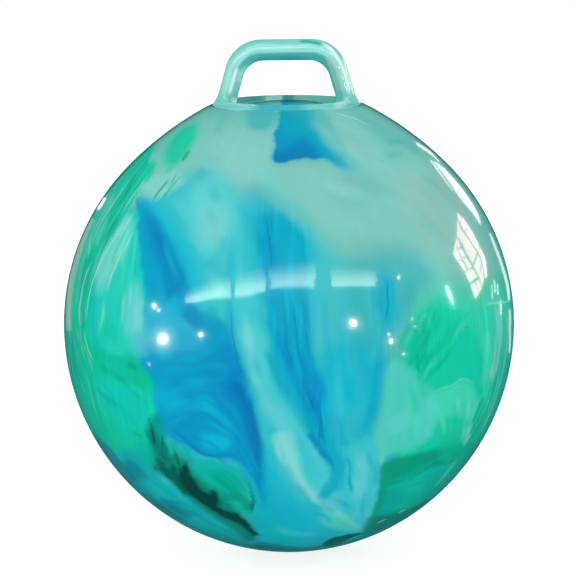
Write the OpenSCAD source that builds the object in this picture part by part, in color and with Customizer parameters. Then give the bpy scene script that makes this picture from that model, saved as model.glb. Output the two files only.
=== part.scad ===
// Inflatable hopper ball with a loop handle
// The ball stands on the floor at z = 0 with its axis along Z.
// The loop handle lies in the XZ plane, and the front of the ball faces -Y.

/* [Ball] */
// Diameter of the inflated ball at its widest circle
ball_d = 450; // [430:5:470]
// How far the bottom hangs below a true sphere
bottom_stretch = 3.8; // [2:0.2:6]
// Radius of the flat patch that the ball rests on
patch_r = 30; // [20:1:45]
// Wall of the moulded skin
skin_wall = 1.2; // [0.8:0.1:2]
// Angle from the top where the shoulder leaves the sphere
shoulder_angle = 46; // [40:1:48]
// Radius of the shoulder's arc, larger than the ball's so that it climbs to the neck
shoulder_r = 325; // [280:5:350]
// Flat margin of the land outside the two foot sockets
land_margin = 2.5; // [1:0.5:6]
// Flat margin of the land between the sockets and the dome
dome_margin = 1.5; // [1:0.5:6]
// Height of the dome above the land
dome_rise = 4; // [2:0.5:6]

/* [Handle] */
// Height of the handle's top above the land
handle_h = 64; // [60:0.5:80]
// Distance between the two feet, axis to axis
foot_spread = 116; // [110:1:122]
// Lean of each leg towards the middle
leg_lean = 16; // [8:0.1:20]
// Bend radius at the corners, on the tube's centreline
bend_r = 29; // [20:1:32]
// Thickness of the grip, seen from the front
grip_w = 21; // [17:0.5:24]
// Thickness of the legs, seen from the front
leg_w = 19.5; // [16:0.5:22]
// Depth of the tube from front to back
tube_depth = 21; // [18:0.5:24]
// Wall of the hollow handle
handle_wall = 2.2; // [1.5:0.1:3]

/* [Base ring] */
// How far the ring's crest lies outside the feet's axes
ring_offset = 2; // [0:0.5:2.5]
// Width of the ring from toe to toe
ring_w = 28; // [24:1:30]
// Height of the crest above the land
ring_h = 5; // [3:0.5:7]
// Height of the two foot sockets above the land
socket_h = 8.5; // [7:0.5:12]
// Radius of a foot socket at the land
socket_r = 15.5; // [14.5:0.5:18]
// Radius of the air passage through each foot
passage_r = 6.5; // [4:0.5:7]

/* [Valve] */
// Angle of the valve from the top of the ball, on the back
valve_angle = 60; // [58:1:80]
// Radius of the valve patch that shows in the skin
valve_patch_r = 17; // [14:0.5:20]
// How far the flange under the skin reaches past the patch
valve_flange = 6; // [4:0.5:10]
// Thickness of the valve's flange
valve_flange_t = 2.4; // [1.5:0.1:4]
// Radius of the boss inside the ball
valve_boss_r = 9.5; // [8:0.5:12]
// Length of the boss below the flange
valve_boss_l = 14; // [10:0.5:20]
// Radius of the bore at its mouth
valve_bore_r = 4.7; // [4:0.1:5.5]
// Taper of the bore and stopper over their length, on the radius
valve_taper = 0.6; // [0.3:0.1:1]

/* [Stopper] */
// Radius of the stopper's head
stopper_head_r = 8.5; // [8:0.1:10]
// Thickness of the stopper's head
stopper_head_t = 2; // [1.5:0.1:3]
// How far the stopper's shank is drawn in between its ribs
stopper_relief = 0.6; // [0.3:0.1:1]
// Number of sealing ribs on the shank
stopper_ribs = 4; // [2:1:5]
// Length of each rib along the shank
stopper_rib_l = 1.6; // [1:0.1:2]
// Radius of the stopper's tip at its very end
stopper_tip_r = 2.5; // [2.2:0.1:2.8]
// Radius of the blind core that keeps the shank soft
stopper_core_r = 1.5; // [1:0.1:1.8]
// Radius of the finger dimple in the head
stopper_dimple_r = 5; // [3:0.5:6]

/* [Fits] */
// Weld line between the valve and the skin
weld_gap = 0.1; // [0.05:0.05:0.3]
// Radial clearance of the stopper's ribs in the bore
rib_gap = 0.05; // [0.03:0.01:0.1]
// Clearance round and under the stopper's head
head_gap = 0.2; // [0.1:0.05:0.4]

/* [Hidden] */
$fn = 96;

// One overrun serves every cut that has to break through a face
overrun = 1;

// Feet, the land that carries them and the dome between them
foot_x = foot_spread / 2;
neck_r = foot_x + socket_r + land_margin;
dome_r = foot_x - socket_r - dome_margin;
ring_r = foot_x + ring_offset;

// Ball
ball_r = ball_d / 2;
// The lower half is an oval of two arcs that meet without a corner
pole_r = ball_r - bottom_stretch;
low_depth = ball_r + bottom_stretch;
side_r = (ball_r^2 + (low_depth - pole_r)^2 - pole_r^2) / (2 * (ball_r - pole_r));
// The oval's meeting point, as an angle from the bottom
oval_angle = atan2(side_r - ball_r, low_depth - pole_r);
// The floor cuts the oval where its radius is the patch radius
patch_angle = asin(patch_r / pole_r);
patch_cut = pole_r * (1 - cos(patch_angle));
ball_z = low_depth - patch_cut;
pole_z = pole_r - patch_cut;
side_x = ball_r - side_r;
// The shoulder's centre lies on the line from the ball's centre to where it leaves the sphere
shoulder_x = -(shoulder_r - ball_r) * sin(shoulder_angle);
shoulder_z = ball_z - (shoulder_r - ball_r) * cos(shoulder_angle);
neck_angle = asin((neck_r - shoulder_x) / shoulder_r);
land_z = shoulder_z + shoulder_r * cos(neck_angle);
dome_arc_r = (dome_r^2 + dome_rise^2) / (2 * dome_rise);
// Arc points nearer to a corner's height than this are left out
corner_gap = 0.01;
// Angle between neighbouring points on the ball's arcs
arc_step = 2;

// Handle
foot_z = land_z + socket_h;
bar_z = land_z + handle_h - grip_w / 2;
corner_x = foot_x - (bar_z - foot_z) * tan(leg_lean);
turn = 90 - leg_lean;
bend_run = bend_r * tan(turn / 2);
// How far a leg flares out at its foot, and how far up the leg the flare fades out
foot_flare = 1.6;
flare_h = 7;
foot_r = (leg_w + tube_depth) / 4 + foot_flare;
// Share of the tube's radius at which the two inner facets cut it, and their direction
facet_share = 0.86;
facet_angle = 41;
// Extra thickness at the corners
corner_swell = 0.7;
tube_sides = 28;
bend_steps = 9;
leg_steps = 5;
flare_steps = 4;
bar_steps = 4;

// Base ring
ring_steps = 24;
socket_steps = 10;

// Valve, measured outwards from the ball's centre along its own axis
skin_in_r = ball_r - skin_wall;
seat_top_r = skin_in_r - weld_gap;
flange_r = valve_patch_r + valve_flange;
flange_end = sqrt(seat_top_r^2 - flange_r^2) - valve_flange_t;
boss_end = flange_end - valve_boss_l;
head_floor = ball_r - stopper_head_t - 2 * head_gap;
recess_r = stopper_head_r + head_gap;
bore_l = head_floor - boss_end;
// The stopper's tip reaches past the boss, and its blind core stops short of the head
tip_reach = 2.5;
tip_l = 2;
core_stop = 4;
head_edge = 0.5;
dimple_depth = 0.7;
rib_pitch = bore_l / (stopper_ribs + 1);

// Points on an arc in the XZ half plane. Angles run from the top, clockwise towards +X.
function arc(x, z, r, from, to, step = arc_step) =
    let (n = max(1, ceil(abs(to - from) / step)))
    [for (i = [0:n]) let (a = from + (to - from) * i / n) [x + r * sin(a), z + r * cos(a)]];

// The skin's outline from the floor up to the neck, drawn in by inset
function ball_outline(inset) = concat(
    arc(0, pole_z, pole_r - inset, 180 - patch_angle, 180 - oval_angle),
    arc(side_x, ball_z, side_r - inset, 180 - oval_angle - arc_step, 90),
    arc(0, ball_z, ball_r - inset, 90 - arc_step, shoulder_angle),
    arc(shoulder_x, shoulder_z, shoulder_r - inset, shoulder_angle - arc_step, neck_angle)
);

// Angle at which the low dome rises out of the land, and its outline, drawn in by inset
function dome_angle(inset) = acos((dome_arc_r - dome_rise - inset) / (dome_arc_r - inset));
function dome_outline(inset) =
    arc(0, land_z + dome_rise - dome_arc_r, dome_arc_r - inset, dome_angle(inset), 0);

// The points of an outline that lie between two heights
function between(points, low, high) =
    [for (p = points) if (p[1] > low + corner_gap && p[1] < high - corner_gap) p];

// One half of the inflated ball, drawn in by inset, with a flat patch below and a flat land on top
module ball_section(inset) {
    land = land_z - inset;
    polygon(concat(
        [[0, inset]],
        [[patch_r - inset * tan(patch_angle / 2), inset]],
        between(ball_outline(inset), inset, land),
        [[neck_r - inset * tan(neck_angle / 2), land]],
        [[(dome_arc_r - inset) * sin(dome_angle(inset)), land]],
        between(dome_outline(inset), land, land_z + 2 * dome_rise)
    ));
}

// Stands its children on the valve's axis, with z = 0 at the ball's centre
module on_valve_axis() {
    translate([0, 0, ball_z])
        rotate([-valve_angle, 0, 0])
            children();
}

module at_feet() {
    for (side = [-1, 1])
        translate([side * foot_x, 0, 0])
            children();
}

module ball_skin() {
    color("mediumturquoise")
        difference() {
            rotate_extrude()
                difference() {
                    ball_section(0);
                    ball_section(skin_wall);
                }
            at_feet()
                translate([0, 0, land_z - skin_wall - overrun])
                    cylinder(r = passage_r, h = skin_wall + 2 * overrun);
            on_valve_axis()
                translate([0, 0, ball_r - valve_patch_r])
                    cylinder(r = valve_patch_r + weld_gap, h = valve_patch_r + overrun);
        }
}

// Raised ring with soft toes, level all the way round
module ring_section() {
    polygon([for (i = [0:ring_steps])
        let (share = 2 * i / ring_steps - 1)
        [ring_r + share * ring_w / 2, land_z + ring_h * (1 + cos(180 * share)) / 2]]);
}

// One socket, flared at its foot like the leg that it carries
module socket_section() {
    polygon(concat(
        [[0, land_z]],
        [for (i = [0:socket_steps])
            let (share = i / socket_steps)
            [foot_r + (socket_r - foot_r) * (1 - sin(90 * share)), land_z + socket_h * share]],
        [[0, foot_z]]
    ));
}

module handle_base_ring() {
    color("paleturquoise")
        difference() {
            union() {
                rotate_extrude()
                    ring_section();
                at_feet()
                    rotate_extrude()
                        socket_section();
            }
            at_feet()
                translate([0, 0, land_z - overrun])
                    cylinder(r = passage_r, h = socket_h + 3 * overrun);
        }
}

// One point of the tube's section: u points to the inside of the loop, w to the back.
// The two inner facets fade out as flat goes to zero.
function section_point(angle, half_u, half_w, flat) =
    let (
        u = half_u * cos(angle),
        w = half_w * sin(angle),
        along = (u * cos(facet_angle) / half_u + abs(w) * sin(facet_angle) / half_w),
        over = max(0, along - facet_share) * flat
    )
    [u - over * half_u * cos(facet_angle), w - over * half_w * sin(facet_angle) * sign(w)];

// One station of the sweep: [x, z, heading from +Z towards +X, half width, half depth, flatness]
function flare(share) = (foot_r - leg_w / 2) * (1 - sin(90 * share));
function leg_station(d, heading) =
    let (
        share = min(1, d / flare_h),
        x = -foot_x + d * tan(leg_lean),
        extra = flare(share)
    )
    [x, foot_z + d, heading * share, leg_w / 2 + extra, tube_depth / 2 + extra * (foot_r - tube_depth / 2)
        / (foot_r - leg_w / 2), share];

leg_top = bar_z - bend_run * cos(leg_lean) - foot_z;
half_stations = concat(
    [for (i = [0:flare_steps]) leg_station(flare_h * i / flare_steps, leg_lean)],
    [for (i = [1:leg_steps]) leg_station(flare_h + (leg_top - flare_h) * i / (leg_steps + 1), leg_lean)],
    [for (i = [0:bend_steps])
        let (
            heading = leg_lean + turn * i / bend_steps,
            share = i / bend_steps,
            x = -corner_x + bend_run - bend_r * cos(heading),
            z = bar_z - bend_r + bend_r * sin(heading),
            swell = corner_swell * sin(180 * share)
        )
        [x, z, heading, (leg_w + (grip_w - leg_w) * share) / 2 + swell, tube_depth / 2 + swell, 1]],
    [for (i = [1:bar_steps / 2])
        let (start = -corner_x + bend_run)
        [start * (1 - 2 * i / bar_steps), bar_z, 90, grip_w / 2, tube_depth / 2, 1]]
);
half_count = len(half_stations);
// The right half mirrors the left one, so its headings run on from 90 to 180
stations = concat(half_stations,
    [for (i = [half_count - 2:-1:0])
        let (s = half_stations[i])
        [-s[0], s[1], 180 - s[2], s[3], s[4], s[5]]]);

function tube_ring(s, wall) =
    [for (k = [0:tube_sides - 1])
        let (
            p = section_point(360 * k / tube_sides, s[3] - wall, s[4] - wall, s[5]),
            u = [cos(s[2]), 0, -sin(s[2])]
        )
        [s[0], 0, s[1]] + p[0] * u + [0, p[1], 0]];

module handle_loop() {
    n = tube_sides;
    m = len(stations);
    points = concat(
        [for (s = stations) each tube_ring(s, 0)],
        [for (s = stations) each tube_ring(s, handle_wall)]
    );
    inner = n * m;
    last = n * (m - 1);
    // Two triangles between points i and i + 1 of one ring and the same points of the other
    function band(a, b, i) =
        let (j = (i + 1) % n)
        [[a + i, b + i, b + j], [a + i, b + j, a + j]];
    faces = concat(
        [for (r = [0:m - 2], i = [0:n - 1]) each band(n * (r + 1), n * r, i)],
        [for (r = [0:m - 2], i = [0:n - 1]) each band(inner + n * r, inner + n * (r + 1), i)],
        [for (i = [0:n - 1]) each band(0, inner, i)],
        [for (i = [0:n - 1]) each band(inner + last, last, i)]
    );
    color("aquamarine")
        polyhedron(points, faces);
}

// One half of the valve, from the boss up to the patch
module seat_section() {
    flange_edge = asin(flange_r / seat_top_r);
    flange_neck = asin(valve_patch_r / seat_top_r);
    patch_edge = asin(valve_patch_r / ball_r);
    recess_edge = asin(recess_r / ball_r);
    polygon(concat(
        [[valve_bore_r - valve_taper, boss_end]],
        [[valve_boss_r, boss_end]],
        [[valve_boss_r, flange_end]],
        [[flange_r, flange_end]],
        arc(0, 0, seat_top_r, flange_edge, flange_neck),
        arc(0, 0, ball_r, patch_edge, recess_edge),
        [[recess_r, head_floor]],
        [[valve_bore_r, head_floor]]
    ));
}

module valve_seat() {
    color("powderblue")
        on_valve_axis()
            rotate_extrude()
                seat_section();
}

// Radius of the bore at a height above the boss's end
function bore_at(d) = valve_bore_r - valve_taper + valve_taper * max(0, min(1, d / bore_l));

// One half of the stopper, from its tip up to its head
module stopper_section() {
    rib_r = function (d) bore_at(d) - rib_gap;
    core_r = function (d) rib_r(d) - stopper_relief;
    head_z = head_floor + head_gap;
    polygon(concat(
        [[0, boss_end - tip_reach]],
        [[stopper_tip_r, boss_end - tip_reach]],
        [[core_r(0), boss_end - tip_reach + tip_l]],
        [for (i = [1:stopper_ribs])
            let (d = i * rib_pitch)
            each [
                [core_r(d - stopper_rib_l), boss_end + d - stopper_rib_l],
                [rib_r(d - stopper_rib_l / 2), boss_end + d - stopper_rib_l / 2],
                [rib_r(d - stopper_rib_l / 2), boss_end + d],
                [core_r(d), boss_end + d]
            ]],
        [[core_r(bore_l), head_z]],
        [[stopper_head_r - head_edge, head_z]],
        [[stopper_head_r, head_z + head_edge]],
        [[stopper_head_r, head_z + stopper_head_t - head_edge]],
        [[stopper_head_r - head_edge, head_z + stopper_head_t]],
        [[0, head_z + stopper_head_t]]
    ));
}

module valve_stopper() {
    dimple_curve = (stopper_dimple_r^2 + dimple_depth^2) / (2 * dimple_depth);
    head_top = head_floor + head_gap + stopper_head_t;
    color("white")
        on_valve_axis()
            difference() {
                rotate_extrude()
                    stopper_section();
                translate([0, 0, boss_end - tip_reach - overrun])
                    cylinder(r = stopper_core_r, h = tip_reach + bore_l - core_stop + overrun);
                translate([0, 0, head_top + dimple_curve - dimple_depth])
                    sphere(r = dimple_curve);
            }
}

ball_skin();
handle_base_ring();
handle_loop();
valve_seat();
valve_stopper();
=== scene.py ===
# %% [markdown]
# # A marbled hopper ball
# A hopper ball is an inflated vinyl ball with a loop handle moulded on top. The real one is cast
# hollow in one piece, and the only thing that comes off is the stopper of its air valve at the back.
# The frame below holds that construction at its real size. This script dresses it: the soft shapes
# are modelled again with finer surfaces, and the glossy, marbled vinyl is painted onto them.

# %% Load the frame
import math

import bmesh
import bpy
import numpy as np
from mathutils import Matrix, Vector, noise


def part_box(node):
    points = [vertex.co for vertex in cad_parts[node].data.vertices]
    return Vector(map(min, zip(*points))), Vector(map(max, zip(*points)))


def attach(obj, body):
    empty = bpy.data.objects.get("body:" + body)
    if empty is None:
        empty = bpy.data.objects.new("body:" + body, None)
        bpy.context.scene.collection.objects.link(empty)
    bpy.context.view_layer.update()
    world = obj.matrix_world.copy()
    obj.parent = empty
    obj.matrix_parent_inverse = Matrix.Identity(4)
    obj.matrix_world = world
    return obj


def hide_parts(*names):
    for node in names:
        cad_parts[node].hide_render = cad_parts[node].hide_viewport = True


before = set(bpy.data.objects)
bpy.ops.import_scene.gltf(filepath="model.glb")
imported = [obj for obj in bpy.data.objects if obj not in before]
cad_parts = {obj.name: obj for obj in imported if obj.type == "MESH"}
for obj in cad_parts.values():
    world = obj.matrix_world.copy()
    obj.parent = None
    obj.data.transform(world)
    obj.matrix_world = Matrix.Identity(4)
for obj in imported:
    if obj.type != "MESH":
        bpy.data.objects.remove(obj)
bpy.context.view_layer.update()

scene = bpy.context.scene
scene.view_settings.view_transform = "Standard"

# %% [markdown]
# ## The sizes that everything follows
# The ball is a surface of revolution, so one outline describes it. Its arcs have the same radii as
# the construction: a flat patch on the floor, a lower half that hangs a little, the widest circle,
# and a shoulder that climbs to a flat land under the handle. All sizes are in metres.

# %% Sizes of the ball and the handle
BALL_R = 0.225
BOTTOM_STRETCH = 0.0038
PATCH_R = 0.030
SHOULDER_ANGLE = math.radians(46)
SHOULDER_R = 0.325
DOME_RISE = 0.004
FOOT_X = 0.058
SOCKET_R = 0.0155
SOCKET_H = 0.0085
NECK_R = FOOT_X + SOCKET_R + 0.0025
DOME_R = FOOT_X - SOCKET_R - 0.0015
RING_R = 0.060
RING_H = 0.005
RING_HALF = 0.0145
LEG_LEAN = math.radians(16)
BEND_R = 0.029
HALF_LEG = 0.00975
HALF_GRIP = 0.0105
HALF_DEPTH = 0.0105

_, ball_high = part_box("ball_skin")
_, loop_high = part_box("handle_loop")
TOP_Z = loop_high[2]
LAND_Z = ball_high[2] - DOME_RISE
BAR_Z = TOP_Z - HALF_GRIP
print("land at", round(LAND_Z, 4), "grip axis at", round(BAR_Z, 4))

# %% [markdown]
# ## The camera
# The photograph was taken from a little above, straight at the handle, from a few steps away. A long
# lens from two metres keeps the ball's outline nearly the true outline. The whole picture is rolled
# by under a degree, because the soft ball leans a little to the left.

# %% Camera at the photograph's angle
PICTURE = 576
CAMERA_DISTANCE = 2.2
CAMERA_ELEVATION = math.radians(9.5)
CAMERA_ROLL = math.radians(-0.6)
PIXELS_PER_METRE = 998.0
AIM = Vector((-0.0006, 0.0, 0.2625))

view_dir = Vector((0.0, math.cos(CAMERA_ELEVATION), -math.sin(CAMERA_ELEVATION)))
camera_place = AIM - view_dir * CAMERA_DISTANCE
camera_data = bpy.data.cameras.new("camera")
camera_data.sensor_width = 36.0
camera_data.lens = PIXELS_PER_METRE * CAMERA_DISTANCE / PICTURE * camera_data.sensor_width
camera_data.dof.use_dof = False
camera = bpy.data.objects.new("camera", camera_data)
scene.collection.objects.link(camera)
turn = view_dir.to_track_quat("-Z", "Y").to_matrix() @ Matrix.Rotation(CAMERA_ROLL, 3, "Z")
camera.matrix_world = Matrix.Translation(camera_place) @ turn.to_4x4()
scene.camera = camera
print("lens", round(camera_data.lens, 1), "mm")


# %% [markdown]
# The marbling is laid out as seen in the picture, so two small helpers are needed: one gives the
# picture place of any point of the ball, and one gives the line of sight through a picture place.

# %% From the object to the picture and back
CAM_RIGHT = np.array(turn.col[0])
CAM_UP = np.array(turn.col[1])
CAM_AHEAD = -np.array(turn.col[2])
FOCAL = PIXELS_PER_METRE * CAMERA_DISTANCE
MIDDLE = PICTURE / 2


def picture_places(points):
    """Columns and rows in the picture of points, an array of x, y, z."""
    away = points - np.array(camera_place)
    depth = away @ CAM_AHEAD
    columns = MIDDLE + FOCAL * (away @ CAM_RIGHT) / depth
    rows = MIDDLE - FOCAL * (away @ CAM_UP) / depth
    return np.stack([columns, rows], axis=1)


def sight_line(column, row):
    """Unit vector from the camera through a picture place."""
    ray = CAM_AHEAD + CAM_RIGHT * (column - MIDDLE) / FOCAL - CAM_UP * (row - MIDDLE) / FOCAL
    return Vector(ray / np.linalg.norm(ray))


# %% [markdown]
# ## The ball
# A globe of even squares takes the outline best: a cube is cut into a fine grid, blown up to a
# sphere with the To Sphere tool, and each point is then moved to its place on the real outline. The
# grid is drawn a little towards the front, where the marbling is looked at most closely.

# %% Outline of the ball
def arc(x, z, radius, start, end, count):
    """Points on an arc in the XZ half plane, with angles from the top towards +X."""
    angles = np.linspace(start, end, count)
    return np.stack([x + radius * np.sin(angles), z + radius * np.cos(angles)], axis=1)


POLE_R = BALL_R - BOTTOM_STRETCH
LOW_DEPTH = BALL_R + BOTTOM_STRETCH
SIDE_R = (BALL_R**2 + (LOW_DEPTH - POLE_R) ** 2 - POLE_R**2) / (2 * (BALL_R - POLE_R))
OVAL_ANGLE = math.atan2(SIDE_R - BALL_R, LOW_DEPTH - POLE_R)
PATCH_ANGLE = math.asin(PATCH_R / POLE_R)
PATCH_CUT = POLE_R * (1 - math.cos(PATCH_ANGLE))
BALL_Z = LOW_DEPTH - PATCH_CUT
SHOULDER_X = -(SHOULDER_R - BALL_R) * math.sin(SHOULDER_ANGLE)
SHOULDER_Z = BALL_Z - (SHOULDER_R - BALL_R) * math.cos(SHOULDER_ANGLE)
NECK_ANGLE = math.asin((NECK_R - SHOULDER_X) / SHOULDER_R)
DOME_ARC_R = (DOME_R**2 + DOME_RISE**2) / (2 * DOME_RISE)
DOME_ANGLE = math.asin(DOME_R / DOME_ARC_R)


def ball_outline():
    """The ball's outline from the middle of the dome down to the middle of the patch."""
    top = LAND_Z + DOME_RISE - DOME_ARC_R
    return np.concatenate([
        arc(0, top, DOME_ARC_R, 0, DOME_ANGLE, 24),
        arc(SHOULDER_X, SHOULDER_Z, SHOULDER_R, NECK_ANGLE, SHOULDER_ANGLE, 60),
        arc(0, BALL_Z, BALL_R, SHOULDER_ANGLE, math.pi / 2, 120)[1:],
        arc(BALL_R - SIDE_R, BALL_Z, SIDE_R, math.pi / 2, math.pi - OVAL_ANGLE, 120)[1:],
        arc(0, POLE_R - PATCH_CUT, POLE_R, math.pi - OVAL_ANGLE, math.pi - PATCH_ANGLE, 120)[1:],
        np.array([[0.0, 0.0]]),
    ])


outline = ball_outline()
outline_run = np.concatenate([[0], np.cumsum(np.linalg.norm(np.diff(outline, axis=0), axis=1))])
print("outline from dome to patch", round(float(outline_run[-1]), 4), "m; axis height", round(BALL_Z, 4))


# %% Helpers for working with objects
SMOOTH_UP_TO = math.radians(40)


def edit_all():
    """Edit the active object, with its whole mesh selected."""
    bpy.ops.object.mode_set(mode="EDIT")
    bpy.ops.mesh.select_all(action="SELECT")


def deselect_all():
    """Deselect every object."""
    for other in bpy.context.selected_objects:
        other.select_set(False)


def only(obj):
    """Select one object alone and make it active."""
    deselect_all()
    obj.select_set(True)
    bpy.context.view_layer.objects.active = obj


def named(name):
    """Name the active object and its mesh."""
    obj = bpy.context.object
    obj.name = name
    obj.data.name = name
    return obj


def places_of(obj):
    """All points of a mesh as an array."""
    flat = np.empty(len(obj.data.vertices) * 3)
    obj.data.vertices.foreach_get("co", flat)
    return flat.reshape(-1, 3)


def put_places(obj, places):
    """Write all points of a mesh back."""
    obj.data.vertices.foreach_set("co", np.ascontiguousarray(places).ravel())
    obj.data.update()


# %% A globe of even squares, moved onto the outline
FRONT_PULL = 0.4


def globe_on_outline(name, coarse_cuts, fine_cuts):
    """A cube cut into even squares, blown up to a globe and moved onto the ball's outline."""
    deselect_all()
    bpy.ops.mesh.primitive_cube_add(size=2)
    globe = named(name)
    edit_all()
    bpy.ops.mesh.subdivide(number_cuts=coarse_cuts)
    bpy.ops.mesh.subdivide(number_cuts=fine_cuts)
    bpy.ops.transform.tosphere(value=1)
    bpy.ops.object.mode_set(mode="OBJECT")
    ways = places_of(globe)
    ways = ways / np.linalg.norm(ways, axis=1)[:, None] + np.array([0, -FRONT_PULL, 0])
    ways /= np.linalg.norm(ways, axis=1)[:, None]
    run = np.arccos(np.clip(ways[:, 2], -1, 1)) / math.pi * outline_run[-1]
    radius = np.interp(run, outline_run, outline[:, 0])
    flat = np.maximum(np.hypot(ways[:, 0], ways[:, 1]), 1e-9)
    put_places(globe, np.stack([ways[:, 0] / flat * radius, ways[:, 1] / flat * radius,
                                np.interp(run, outline_run, outline[:, 1])], axis=1))
    return globe


ball = globe_on_outline("ball_skin_vinyl", 14, 7)
print("ball", len(ball.data.polygons), "squares")

# %% [markdown]
# The vinyl is only 1.2 mm thick, and with the stopper out one can look through the valve into the
# empty ball. So a second, coarser globe is drawn in by the wall and turned inside out, both are
# joined, and a plain round cutter takes the valve's hole out of the two at once.

# %% Inner skin
SKIN_WALL = 0.0012

lining = globe_on_outline("ball_lining", 9, 3)
outward = np.array([tuple(v.normal) for v in lining.data.vertices])
put_places(lining, places_of(lining) - outward * SKIN_WALL)
edit_all()
bpy.ops.mesh.flip_normals()
bpy.ops.object.mode_set(mode="OBJECT")
only(ball)
lining.select_set(True)
bpy.ops.object.join()
print("ball and lining", len(ball.data.polygons), "squares")

# %% Hole for the valve
VALVE_ANGLE = math.radians(60)
PATCH = 0.017
HOLE_GAP = 0.0001

valve_turn = Matrix.Translation((0, 0, BALL_Z)) @ Matrix.Rotation(-VALVE_ANGLE, 4, "X")
deselect_all()
bpy.ops.mesh.primitive_cylinder_add(vertices=96, radius=PATCH + HOLE_GAP, depth=0.05, location=(0, 0, BALL_R))
cutter = named("hole_cutter")
cutter.data.transform(valve_turn @ Matrix.Translation((0, 0, BALL_R)))
cutter.location = (0, 0, 0)
only(ball)
hole = ball.modifiers.new("hole", "BOOLEAN")
hole.operation = "DIFFERENCE"
hole.solver = "EXACT"
hole.object = cutter
bpy.ops.object.modifier_apply(modifier="hole")
bpy.data.objects.remove(cutter)
bpy.ops.object.shade_smooth_by_angle(angle=SMOOTH_UP_TO)
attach(ball, "ball")
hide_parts("ball_skin")
print("ball with its hole", sum(len(f.vertices) - 2 for f in ball.data.polygons), "triangles")

# %% [markdown]
# ## The crown: base ring, feet and loop handle
# On the real ball the ring and the handle are drawn out of the same skin, so they flow into each
# other with small fillets. Modelling each form by itself and then letting a fine voxel remesh melt
# them together gives exactly that. The loop starts as one section that is extruded, moved and turned
# from foot to foot, the way a tube is laid by hand.

# %% Section of the tube
SECTION_SIDES = 48
FACET_SHARE = 0.84
FACET_ANGLE = math.radians(41)


def tube_section():
    """Points of the tube's section: first value towards the inside of the loop, second to the back."""
    angles = np.arange(SECTION_SIDES) * 2 * math.pi / SECTION_SIDES
    inward = np.cos(angles)
    back = np.sin(angles)
    along = inward * math.cos(FACET_ANGLE) + np.abs(back) * math.sin(FACET_ANGLE)
    over = np.maximum(0, along - FACET_SHARE)
    inward = inward - over * math.cos(FACET_ANGLE)
    back = back - over * math.sin(FACET_ANGLE) * np.sign(back)
    return inward, back


# %% Stations along the loop
FOOT_SINK = 0.010
FOOT_FLARE = 0.0022
FLARE_H = 0.009
BEND_STEPS = 18
LEG_STEPS = 14
BAR_STEPS = 8
CORNER_SWELL = 0.0006

foot_z = LAND_Z - FOOT_SINK
socket_top = LAND_Z + SOCKET_H
corner_x = FOOT_X - (BAR_Z - socket_top) * math.tan(LEG_LEAN)
bend_turn = math.pi / 2 - LEG_LEAN
bend_run = BEND_R * math.tan(bend_turn / 2)
leg_top = BAR_Z - bend_run * math.cos(LEG_LEAN)


def loop_stations():
    """Stations from the left foot to the middle of the bar: x, z, heading, half width, half depth."""
    rows = []
    for step in range(LEG_STEPS):
        z = foot_z + (leg_top - foot_z) * step / LEG_STEPS
        x = -FOOT_X + (z - socket_top) * math.tan(LEG_LEAN)
        flare = FOOT_FLARE * max(0.0, 1 - (z - LAND_Z) / FLARE_H) ** 2 if z > LAND_Z else FOOT_FLARE
        rows.append((x, z, LEG_LEAN, HALF_LEG + flare, HALF_DEPTH + flare))
    for step in range(BEND_STEPS + 1):
        share = step / BEND_STEPS
        heading = LEG_LEAN + bend_turn * share
        x = -corner_x + bend_run - BEND_R * math.cos(heading)
        z = BAR_Z - BEND_R + BEND_R * math.sin(heading)
        swell = CORNER_SWELL * math.sin(math.pi * share)
        half = HALF_LEG + (HALF_GRIP - HALF_LEG) * share
        rows.append((x, z, heading, half + swell, HALF_DEPTH + swell))
    start = -corner_x + bend_run
    for step in range(1, BAR_STEPS + 1):
        rows.append((start * (1 - step / BAR_STEPS), BAR_Z, math.pi / 2, HALF_GRIP, HALF_DEPTH))
    mirrored = [(-x, z, math.pi - heading, width, depth) for x, z, heading, width, depth in rows[:-1]]
    return rows + mirrored[::-1]


def station_ring(station):
    """Section points set out at a station."""
    x, z, heading, half_width, half_depth = station
    inward, back = tube_section()
    to_inside = np.array([math.cos(heading), 0, -math.sin(heading)])
    ring = np.array([x, 0, z]) + np.outer(inward * half_width, to_inside)
    ring[:, 1] += back * half_depth
    return ring


# %% Lay the tube from foot to foot
deselect_all()
bpy.ops.mesh.primitive_circle_add(vertices=SECTION_SIDES, fill_type="NGON")
loop = named("loop_tube")
stations = loop_stations()
put_places(loop, station_ring(stations[0]))
edit_all()
for before, after in zip(stations, stations[1:]):
    old_ring = station_ring(before)
    new_ring = station_ring(after)
    bpy.ops.mesh.extrude_region_move()
    edit = bmesh.from_edit_mesh(loop.data)
    for vert in edit.verts:
        if vert.select:
            nearest = int(np.argmin(np.linalg.norm(old_ring - np.array(vert.co), axis=1)))
            vert.co = new_ring[nearest]
    bmesh.update_edit_mesh(loop.data)
bpy.ops.mesh.select_all(action="SELECT")
bpy.ops.mesh.normals_make_consistent(inside=False)
bpy.ops.object.mode_set(mode="OBJECT")
print("loop", len(stations), "stations,", len(loop.data.polygons), "faces")

# %% A helper that spins a profile
MERGE = 0.00001


def spun(name, points, steps):
    """A closed profile of radius and height, spun once round the Z axis."""
    deselect_all()
    bpy.ops.mesh.primitive_circle_add(vertices=len(points), fill_type="NOTHING")
    part = named(name)
    put_places(part, np.array([(radius, 0, height) for radius, height in points]))
    edit_all()
    bpy.ops.mesh.spin(steps=steps, angle=2 * math.pi, center=(0, 0, 0), axis=(0, 0, 1))
    bpy.ops.mesh.select_all(action="SELECT")
    bpy.ops.mesh.remove_doubles(threshold=MERGE)
    bpy.ops.mesh.normals_make_consistent(inside=False)
    bpy.ops.object.mode_set(mode="OBJECT")
    return part


# %% Spin the base ring
RING_POINTS = 28
RING_SPIN = 240
RING_DEPTH = 0.006
RING_SINK = 0.0004
RING_TUCK = 0.0015


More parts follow.
